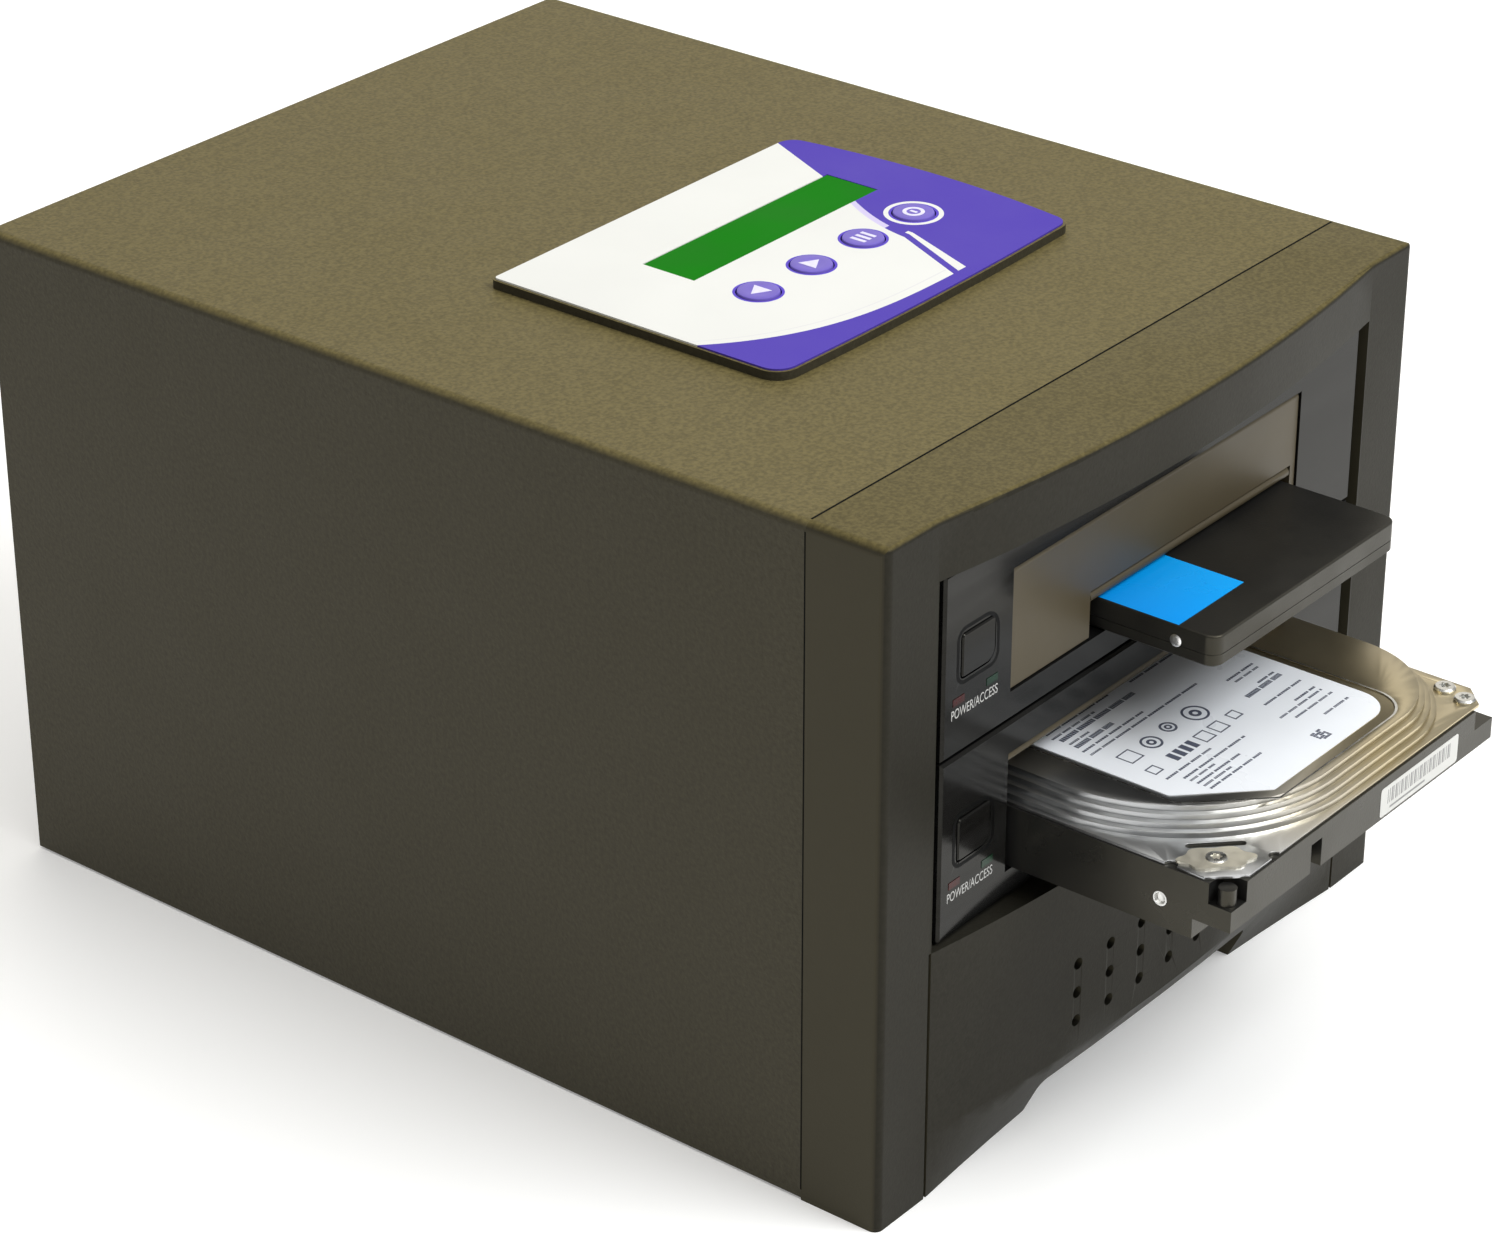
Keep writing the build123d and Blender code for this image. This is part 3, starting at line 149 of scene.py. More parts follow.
def feed(material, value, target):
    """Give a socket a number, or the output of another node."""
    if isinstance(value, bpy.types.NodeSocket):
        wire(material, value, target)
    else:
        target.default_value = value


def surface_point(material, stretch=(1, 1, 1)):
    """Place on the object in metres, stretched where a finish has streaks."""
    place = node(material, "ShaderNodeTexCoord")
    mapping = node(material, "ShaderNodeMapping", {"Scale": stretch})
    wire(material, place.outputs["Object"], mapping.inputs["Vector"])
    return mapping.outputs["Vector"]


def noise(material, scale, detail, stretch=(1, 1, 1)):
    texture = node(material, "ShaderNodeTexNoise", {"Scale": scale, "Detail": detail})
    wire(material, surface_point(material, stretch), texture.inputs["Vector"])
    return texture.outputs["Fac"]


def remap(material, value, low, high, first=0.0, second=1.0):
    """first while value is under low, second while it is over high, and a ramp between."""
    ramp = node(material, "ShaderNodeMapRange",
                {"From Min": low, "From Max": high, "To Min": first, "To Max": second})
    wire(material, value, ramp.inputs["Value"])
    return ramp.outputs["Result"]


def maths(material, operation, first, second=0.0):
    """Output of one sum, whose terms are numbers or outputs of other nodes."""
    step = node(material, "ShaderNodeMath", operation=operation)
    feed(material, first, step.inputs[0])
    feed(material, second, step.inputs[1])
    return step.outputs[0]


def mixed(material, factor, first, second):
    """Colour between two colours or colour sockets."""
    mix = node(material, "ShaderNodeMix", data_type="RGBA")
    wire(material, factor, mix.inputs[0])
    for colour, target in ((first, mix.inputs[6]), (second, mix.inputs[7])):
        feed(material, colour if isinstance(colour, bpy.types.NodeSocket) else (*colour, 1.0), target)
    return mix.outputs[2]


def shade(colour, factor):
    """The same colour, lighter or darker."""
    return tuple(min(1.0, part * factor) for part in colour)


def finish(name, colour, roughness, metallic=0.0, mottle=(60, 0.12), grain=None, wear=(40, 0.08),
           stretch=(1, 1, 1), sockets=None):
    """Material with colour variation, uneven gloss and, where there is any, surface grain.
    mottle and wear are (scale per metre, spread), grain is (scale per metre, depth in metres)."""
    material = bpy.data.materials.new(name)
    material.use_nodes = True
    shader = surface(material)
    shader.inputs["Metallic"].default_value = metallic
    for key, value in (sockets or {}).items():
        shader.inputs[key].default_value = value
    scale, spread = mottle
    blotches = noise(material, scale, 3.0, stretch)
    tone = remap(material, blotches, 0.3, 0.7)
    paint(material, mixed(material, tone, shade(colour, 1 - spread), shade(colour, 1 + spread)))
    scale, spread = wear
    gloss = remap(material, noise(material, scale, 4.0, stretch), 0.3, 0.7,
                  roughness - spread, roughness + spread)
    wire(material, gloss, shader.inputs["Roughness"])
    if grain:
        scale, depth = grain
        bump = node(material, "ShaderNodeBump", {"Strength": 1.0, "Distance": depth})
        wire(material, noise(material, scale, 2.0, stretch), bump.inputs["Height"])
        wire(material, bump.outputs["Normal"], shader.inputs["Normal"])
    return material


def surface(material):
    return material.node_tree.nodes["Principled BSDF"]


def paint(material, socket):
    wire(material, socket, surface(material).inputs["Base Color"])


def painted_with(material):
    """Output that now drives the base colour."""
    return surface(material).inputs["Base Color"].links[0].from_socket


def axes_of(material, vector):
    """X, Y and Z of a vector."""
    split = node(material, "ShaderNodeSeparateXYZ")
    wire(material, vector, split.inputs[0])
    return split.outputs


def place_axes(material):
    """X, Y and Z of the place on the object, in metres."""
    return axes_of(material, node(material, "ShaderNodeTexCoord").outputs["Object"])


def normal_axes(material):
    """X, Y and Z of the direction that the surface faces."""
    return axes_of(material, node(material, "ShaderNodeNewGeometry").outputs["Normal"])


# Meshes

def in_mm(*points):
    """Points, corners or rings given in millimetres, in metres."""
    return [tuple(part * MM for part in point) for point in points]


def mesh_piece(name, mesh, material, body):
    mesh.materials.append(material)
    piece = bpy.data.objects.new(name, mesh)
    bpy.context.scene.collection.objects.link(piece)
    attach(piece, body)
    return piece


def facing_up(x, y, z):
    return Matrix.Translation((x, y, z))


def facing(x_axis, y_axis, x, y, z):
    """Place for an outline drawn flat: where its own X and Y axes point, and where it lies."""
    columns = (Vector(x_axis), Vector(y_axis), Vector(x_axis).cross(Vector(y_axis)))
    turn = Matrix([[column[row] for column in columns] for row in range(3)]).to_4x4()
    return Matrix.Translation((x, y, z)) @ turn


def facing_front(x, y, z):
    return facing((1, 0, 0), (0, 0, 1), x, y, z)


def facing_back(x, y, z):
    return facing((-1, 0, 0), (0, 0, 1), x, y, z)


def facing_left(x, y, z):
    return facing((0, -1, 0), (0, 0, 1), x, y, z)


def facing_right(x, y, z):
    return facing((0, 1, 0), (0, 0, 1), x, y, z)


def tiles(name, outlines, place, low, high):
    """Mesh of flat tiles, each an outline pushed from low to high along the place's own Z."""
    mesh = bpy.data.meshes.new(name)
    build = bmesh.new()
    for outline in outlines:
        bottom = [build.verts.new(place @ Vector((x, y, low))) for x, y in outline]
        top = [build.verts.new(place @ Vector((x, y, high))) for x, y in outline]
        build.faces.new(top)
        build.faces.new(bottom[::-1])
        for index, vertex in enumerate(bottom):
            after = (index + 1) % len(outline)
            build.faces.new((vertex, bottom[after], top[after], top[index]))
    bmesh.ops.recalc_face_normals(build, faces=build.faces)
    build.to_mesh(mesh)
    build.free()
    return mesh


def turned(name, rings, places, steps):
    """Mesh of turned pieces. A ring is (radius, height), and a radius may be a function of the angle."""
    mesh = bpy.data.meshes.new(name)
    build = bmesh.new()
    for place in places:
        loops = []
        for radius, height in rings:
            loop = []
            for step in range(steps):
                angle = FULL_TURN * step / steps
                reach = radius(angle) if callable(radius) else radius
                loop.append(build.verts.new(place @ Vector((reach * math.cos(angle),
                                                            reach * math.sin(angle), height))))
            loops.append(loop)
        for lower, upper in zip(loops, loops[1:]):
            for index in range(steps):
                after = (index + 1) % steps
                build.faces.new((lower[index], lower[after], upper[after], upper[index]))
        build.faces.new(loops[0][::-1])
        build.faces.new(loops[-1])
    bmesh.ops.recalc_face_normals(build, faces=build.faces)
    build.to_mesh(mesh)
    build.free()
    return mesh


def tile_piece(name, outlines, place, low, high, material, body):
    """Flat piece, made of tiles."""
    return mesh_piece(name, tiles(name, outlines, place, low, high), material, body)


def turned_piece(name, rings, places, steps, material, body):
    """Smooth turned piece, or a set of like ones."""
    return smooth(mesh_piece(name, turned(name, rings, places, steps), material, body))


def rectangle(left, right, low, high):
    return [(left, low), (right, low), (right, high), (left, high)]


def arc(x, y, radius, start, end, steps):
    """Points along an arc, angles in degrees."""
    angles = [math.radians(start + (end - start) * step / steps) for step in range(steps + 1)]
    return [(x + radius * math.cos(angle), y + radius * math.sin(angle)) for angle in angles]


def ring(x, y, outer, inner):
    """Flat ring as two half rings."""
    steps = 24
    return [arc(x, y, outer, start, start + 180, steps) + arc(x, y, inner, start + 180, start, steps)
            for start in (0, 180)]


def rounded(corners, steps=8):
    """Outline through (x, y, radius) corners, each rounded by its own radius."""
    outline = []
    count = len(corners)
    for index, (x, y, radius) in enumerate(corners):
        here = Vector((x, y))
        before = (Vector(corners[index - 1][:2]) - here).normalized()
        after = (Vector(corners[(index + 1) % count][:2]) - here).normalized()
        if radius <= 0:
            outline.append((x, y))
            continue
        half = before.angle(after) / 2
        centre = here + (before + after).normalized() * radius / math.sin(half)
        first = here + before * radius / math.tan(half) - centre
        last = here + after * radius / math.tan(half) - centre
        sweep = first.angle_signed(last)
        for step in range(steps + 1):
            turn = Matrix.Rotation(-sweep * step / steps, 2)
            outline.append(tuple(centre + turn @ first))
    return outline


def lettering(name, words, width, height, place, depth):
    """Mesh of plain capitals, stretched to a width and a height."""
    curve = bpy.data.curves.new(name, "FONT")
    curve.body = words
    curve.extrude = depth / 2
    writer = bpy.data.objects.new(name, curve)
    bpy.context.scene.collection.objects.link(writer)
    bpy.context.view_layer.update()
    mesh = bpy.data.meshes.new_from_object(writer)
    bpy.data.objects.remove(writer)
    build = bmesh.new()
    build.from_mesh(mesh)
    bmesh.ops.remove_doubles(build, verts=build.verts, dist=depth / 4)
    low = [min(vertex.co[axis] for vertex in build.verts) for axis in range(2)]
    high = [max(vertex.co[axis] for vertex in build.verts) for axis in range(2)]
    grow = (width / (high[0] - low[0]), height / (high[1] - low[1]))
    for vertex in build.verts:
        x, y, z = vertex.co
        vertex.co = place @ Vector(((x - low[0]) * grow[0], (y - low[1]) * grow[1], z))
    build.to_mesh(mesh)
    build.free()
    return mesh


def frame_tiles(outer, inner):
    """Outlines that fill the space between two outlines with the same number of points."""
    count = len(outer)
    return [[outer[index], outer[(index + 1) % count], inner[(index + 1) % count], inner[index]]
            for index in range(count)]


def shade_smooth(piece):
    piece.data.polygons.foreach_set("use_smooth", [True] * len(piece.data.polygons))


def smooth(piece):
    """Smooth shading with sharp edges where faces meet at more than 35 degrees."""
    shade_smooth(piece)
    piece.data.set_sharp_from_angle(angle=math.radians(35))
    return piece


def joined(piece):
    """Join the faces of a node and lay out its flat faces afresh, before its edges are rounded.
    Cut into triangles again, since a wide face round an opening can't be rounded as one."""
    join = piece.modifiers.new("join", "WELD")
    join.merge_threshold = 0.002 * MM
    flat = piece.modifiers.new("flat", "DECIMATE")
    flat.decimate_type = "DISSOLVE"
    flat.angle_limit = math.radians(0.6)
    piece.modifiers.new("cut", "TRIANGULATE")


def bevelled(piece, width, segments, angle):
    """Round the edges of a node that turn by more than an angle in degrees."""
    joined(piece)
    edge = piece.modifiers.new("edge", "BEVEL")
    edge.width = width
    edge.segments = segments
    edge.limit_method = "ANGLE"
    edge.angle_limit = math.radians(angle)
    shade_smooth(piece)
    return edge


def soften(piece, width, segments):
    """Round the sharp edges of a node, with shading that keeps its flat faces flat."""
    bevelled(piece, width, segments, 32).miter_outer = "MITER_ARC"
    shine = piece.modifiers.new("shine", "WEIGHTED_NORMAL")
    shine.keep_sharp = False


def dress(names, material, edge=0.0, segments=2):
    """Give CAD nodes their finish, and softened edges where a width is given."""
    for name in names:
        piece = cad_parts[name]
        for place in piece.material_slots:
            place.material = material
        if edge:
            soften(piece, edge, segments)


def lobes(outer, inner, count):
    """Radius of a star recess with round lobes."""
    middle = (outer + inner) / 2
    swing = (outer - inner) / 2
    return lambda angle: middle + swing * math.cos(count * angle)


def cross(reach, half_width):
    """Radius of a cross recess."""
    def radius(angle):
        wide = max(abs(math.cos(angle)), abs(math.sin(angle)))
        narrow = min(abs(math.cos(angle)), abs(math.sin(angle)))
        return min(reach / wide, half_width / max(narrow, half_width / reach))
    return radius


# Finishes

def painted_top_light(material, colour):
    """Give the faces that look up at the case's top a lighter colour, painted light from above, speckled like
    the grain.
    """
    speckle = 0.22
    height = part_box("top_cover")[1].z
    upward = remap(material, normal_axes(material)["Z"], 0.45, 0.9)
    near = remap(material, place_axes(material)["Z"], height - 5 * MM, height - 3 * MM)
    grains = remap(material, noise(material, 1100, 3.0), 0.35, 0.65)
    paler = mixed(material, grains, shade(colour, 1 - speckle), shade(colour, 1 + speckle))
    topmost = maths(material, "MULTIPLY", upward, near)
    paint(material, mixed(material, topmost, painted_with(material), paler))
    return material


def powder_coat(settings):
    """Coarse textured paint, almost without gloss, with painted light on the faces that look up."""
    material = finish("textured_paint", settings.paint, 0.52, mottle=(900, 0.16), grain=(1300, 0.10 * MM),
                      wear=(60, 0.02), sockets={"Specular IOR Level": 0.22, "Specular Tint": WARM_SHEEN})
    return painted_top_light(material, settings.top)


def bezel_plastic(settings):
    """Fine-grained plastic, darker on its front, with painted light: its sides as pale as the cover's paint
    and its top lighter.
    """
    material = finish("bezel_plastic", settings.bezel, 0.42, mottle=(900, 0.12), grain=(1500, 0.03 * MM),
                      wear=(30, 0.05), sockets={"Specular IOR Level": 0.10, "Specular Tint": WARM_SHEEN})
    # Painted light: faces that look left or right get a paler colour than the front
    painted_side_light = remap(material, maths(material, "ABSOLUTE", normal_axes(material)["X"]), 0.8, 0.98)
    paint(material, mixed(material, painted_side_light, painted_with(material), shade(settings.paint, 1.15)))
    return painted_top_light(material, shade(settings.top, 0.84))


def zinc(settings):
    return finish("zinc_plate", settings.zinc, 0.34, 1.0, mottle=(90, 0.10), grain=(600, 0.01 * MM),
                  wear=(120, 0.08))


def bright_steel():
    return finish("bright_steel", (0.66, 0.66, 0.64), 0.24, 1.0, mottle=(200, 0.06), grain=(900, 0.01 * MM),
                  wear=(300, 0.07))


def gloss_black(settings):
    """Polished plastic with faint streaks from side to side."""
    return finish("gloss_black", settings.face, 0.17, mottle=(300, 0.5), grain=(900, 0.004 * MM),
                  wear=(500, 0.05), stretch=(0.04, 1, 1),
                  sockets={"Specular IOR Level": 0.20, "Specular Tint": (1.0, 0.96, 0.82, 1.0)})


def flap_gloss(settings):
    return finish("flap_gloss", settings.flap, 0.42, mottle=(22, 0.10), grain=(500, 0.004 * MM),
                  wear=(60, 0.05), sockets={"Specular IOR Level": 0.3})


def moulded_black(name, colour=(0.012, 0.012, 0.012), roughness=0.42):
    return finish(name, colour, roughness, mottle=(70, 0.15), grain=(1700, 0.02 * MM), wear=(80, 0.06),
                  sockets={"Specular Tint": WARM_SHEEN})


def circuit_board():
    """Solder mask with a lattice of tracks, broken off in patches."""
    mask, copper = (0.010, 0.11, 0.035), (0.05, 0.28, 0.10)
    pitches = (2.54 * MM, 3.81 * MM, 2.54 * MM)
    track_share = 0.12
    material = finish("circuit_board", mask, 0.35, mottle=(200, 0.2), grain=(800, 0.02 * MM))
    tracks = None
    for axis, pitch in zip(place_axes(material), pitches):
        wave = maths(material, "FRACT", maths(material, "DIVIDE", axis, pitch))
        line = maths(material, "LESS_THAN", wave, track_share)
        tracks = line if tracks is None else maths(material, "MAXIMUM", tracks, line)
    patches = remap(material, noise(material, 160, 1.0), 0.5, 0.54)
    shown = maths(material, "MULTIPLY", tracks, patches)
    paint(material, mixed(material, shown, painted_with(material), copper))
    return material


def print_ink(name, colour):
    return finish(name, colour, 0.55, mottle=(900, 0.08), wear=(600, 0.05))


# Case

class DUPLICATOR_OT_case(bpy.types.Operator):
    """Paint the cover, the moulded front, the plated sheet and the screws"""
    bl_idname = "duplicator.case"
    bl_label = "Case"

    def execute(self, context):
        settings = context.scene.duplicator_case
        dress(["top_cover"], powder_coat(settings), settings.edge)
        dress(["front_bezel"], bezel_plastic(settings), settings.edge)
        dress(["rear_panel"], powder_coat(settings))
        plated = ["chassis_pan", "front_plate", "left_bay_bracket", "right_bay_bracket", "psu_case"]
        dress(plated, zinc(settings))
        dress(["rack_screws"], bright_steel())
        self.feet(settings)
        self.cover_screws()
        self.seam()
        return {"FINISHED"}

    def seam(self):
        """Dark joint across the top and down both sides, where the cover meets the bezel."""
        low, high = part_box("top_cover")
        inset = 2.0 * MM
        half = 0.18 * MM
        top_half = 1.4 * half
        shadow = finish("joint_shadow", (0.006, 0.006, 0.005), 0.8, mottle=(400, 0.3), wear=(300, 0.05),
                        sockets={"Specular IOR Level": 0.05})
        across = rectangle(low.x + inset, high.x - inset, -top_half, top_half)
        down = rectangle(-half, half, low.z + inset, high.z - inset)
        for name, line, place in (("cover_seam", across, facing_up(0, low.y, high.z)),
                                  ("left_cover_seam", down, facing_left(low.x, low.y, 0)),
                                  ("right_cover_seam", down, facing_right(high.x, low.y, 0))):
            tile_piece(name, [line], place, *LINE_DEPTH, shadow, "case")

    def feet(self, settings):
        """Rubber feet with a rounded rim and a recessed middle."""
        low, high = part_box("rubber_feet")
        radius = 7.0 * MM
        places = [facing_up(x, y, 0) for x in (low.x + radius, high.x - radius)
                  for y in (low.y + radius, high.y - radius)]
        rings = in_mm((2.6, 0.9), (2.8, 0.1), (3.2, 0), (5.9, 0), (6.6, 0.25))
        rings += [(radius, 1.0 * MM), (radius, high.z)]
        rubber = finish("foot_rubber", settings.rubber, 0.75, grain=(1500, 0.03 * MM))
        piece = turned_piece("rubber_foot_set", rings, places, 48, rubber, "case")
        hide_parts("rubber_feet")

    def cover_screws(self):
        """Six screws in the cover's rear lip, three on each side."""
        low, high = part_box("cover_screws")
        radius = 3.0 * MM
        height = 2.0 * MM
        levels = (low.z + radius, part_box("top_cover")[1].z / 2, high.z - radius)
        places = [facing_back(x, high.y - height, z)
                  for x in (low.x + radius, high.x - radius) for z in levels]
        rings = pan_head(radius, height)
        piece = turned_piece("cover_screw_set", rings, places, 64, bright_steel(), "case")
        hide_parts("cover_screws")


def pan_head(radius, height):
    """Rings of a screw's pan head with a cross recess."""
    recess = cross(0.55 * radius, 0.16 * radius)
    return [(radius, 0), (radius, 0.45 * height), (0.93 * radius, 0.75 * height),
            (0.72 * radius, height), (recess, height), (recess, 0.45 * height)]


# Racks

class DUPLICATOR_OT_racks(bpy.types.Operator):
    """Finish the two racks: faceplates, flaps, buttons, lenses and their printed marks"""
    bl_idname = "duplicator.racks"
    bl_label = "Drive racks"

    def execute(self, context):
        settings = context.scene.duplicator_rack
        both = ("upper", "lower")
        glossy = gloss_black(settings)
        dress([f"{side}_faceplate" for side in both], glossy, 0.2 * MM)
        dress([f"{side}_rack_shell" for side in both], moulded_black("rack_plastic"))
        flaps = [f"{side}_{leaf}" for side in both for leaf in ("flap", "slim_flap")]
        dress(flaps, flap_gloss(settings), 0.2 * MM)
        dress([f"{side}_power_button" for side in both], glossy, 0.25 * MM, 3)
        dress([f"{side}_flap_pin" for side in both], bright_steel())
        dress([f"{side}_red_lens" for side in both], self.lens("red_lens_tint", settings.red))
        dress([f"{side}_green_lens" for side in both], self.lens("green_lens_tint", settings.green))
        boards = [f"{side}_{part}" for side in both for part in ("backplane", "switch_board")]
        dress(boards, circuit_board())
        dress([f"{side}_sata_socket" for side in both], moulded_black("socket_plastic"))
        for side in both:
            self.marks(side, settings)
        return {"FINISHED"}

    def lens(self, name, colour):
        """Unlit tinted plastic, cloudy inside."""
        return finish(name, colour, 0.18, mottle=(1500, 0.35), wear=(400, 0.05),
                      sockets={"Specular IOR Level": 0.25})

    def marks(self, side, settings):
        """Plain legend under the lenses, and the dark joint round the button."""
        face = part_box(f"{side}_faceplate")[0]
        inset, rise = 2.8 * MM, 8.4 * MM
        length, height, thickness = 15.6 * MM, 2.2 * MM, 0.04 * MM
        place = facing_front(face.x + inset, face.y, face.z + rise)
        mesh = lettering(f"{side}_rack_legend", "POWER/ACCESS", length, height, place, thickness)
        mesh_piece(f"{side}_rack_legend", mesh, print_ink("rack_print", settings.print_colour), "case")
        low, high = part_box(f"{side}_power_button")
        middle = (low + high) / 2
        flange = 0.9 * MM
        half_x = (high.x - low.x) / 2 - flange
        half_z = (high.z - low.z) / 2 - flange
        tight, wide = 1.6 * MM, 3.6 * MM
        corners = ((-half_x, -half_z, tight), (half_x, -half_z, tight), (half_x, half_z, wide),
                   (-half_x, half_z, tight))

        def border(grow):
            return rounded([(x + math.copysign(grow, x), y + math.copysign(grow, y), radius + grow)
                            for x, y, radius in corners])

        outer, inner = 1.3 * MM, 0.45 * MM
        outlines = frame_tiles(border(outer), border(inner))
        place = facing_front(middle.x, face.y, middle.z)
        shadow = finish("button_joint", (0.002, 0.002, 0.002), 0.5, mottle=(300, 0.2), wear=(200, 0.05),
                        sockets={"Specular IOR Level": 0.1})
        tile_piece(f"{side}_button_joint", outlines, place, *LINE_DEPTH, shadow, "case")


# Hard drive. Its places and outlines are in millimetres from its front left corner.

TAB_SCREW = (7.7, 8.9)
LID_SCREWS = (TAB_SCREW, (95.9, 3.9), (97.6, 9.8), (5.0, 141.5), (96.6, 141.5))
SIDE_HOLES = (16.9, 76.9, 118.5)
SIDE_HOLE_HEIGHT = 6.35
SCREW_HEIGHT = 0.8
LABEL_RECESS_DEPTH = 0.3

# Corners of the lid's label as (x, y, radius)
LABEL_CORNERS = (
    (15.4, 95.0, 2.0), (15.4, 25.9, 1.0), (30.9, 10.4, 1.0), (77.2, 10.4, 7.5), (77.2, 95.0, 2.0),
)

# Rows of small and of larger print as (left, right, y)
SMALL_ROWS = (
    (19.1, 41, 49.2), (19.1, 58.3, 47.2), (19.4, 34.4, 57.1), (20, 26.7, 53.1), (20.6, 36.7, 29.5),
    (23.1, 45.3, 26.9), (23.1, 32, 25.3), (23.1, 38.7, 23.6), (23.1, 33.1, 22), (23.1, 42, 20.4),
    (63.3, 72.8, 42.8), (64, 72.8, 41.1), (66.7, 72.8, 37.2), (59.4, 72.8, 30.8), (65, 72.8, 26.9),
    (56.7, 72.8, 25.2), (58.9, 72.8, 22.8), (63.9, 72.8, 18.9), (19.1, 48, 66.4), (19.1, 44, 71.2),
    (19.1, 52, 80.4), (19.1, 40, 85.2), (50, 72.8, 58.6), (54, 72.8, 62.6),
)
LARGE_ROWS = (
    (20, 42.2, 59.1), (20, 46.7, 55), (19.8, 32.8, 51.1), (60, 72.8, 35.3), (20, 46, 62.9), (20, 38, 68.4),
    (20, 50, 76.4), (20, 44, 89.2),
)

# Plain rings as (x, y, radius), plain boxes as (x, y, half a side) and the left edges of four bars
PRINTED_RINGS = ((31.4, 40.8, 2.5), (38.9, 41.7, 2.0), (47.4, 40.6, 3.1))
PRINTED_BOXES = (
    (23.7, 40.9, 2.2), (22.2, 33.9, 1.5), (40.4, 33.6, 1.9), (45.6, 33.6, 1.9), (51.9, 33.9, 1.5),
)
PRINTED_BARS = (28.4, 30.7, 33.0, 35.3)


def both_sides(low, high, spots, height):
    """Places on a drive's left and right side, at each spot along it."""
    return [turn(x, y, height) for turn, x in ((facing_left, low.x), (facing_right, high.x)) for y in spots]


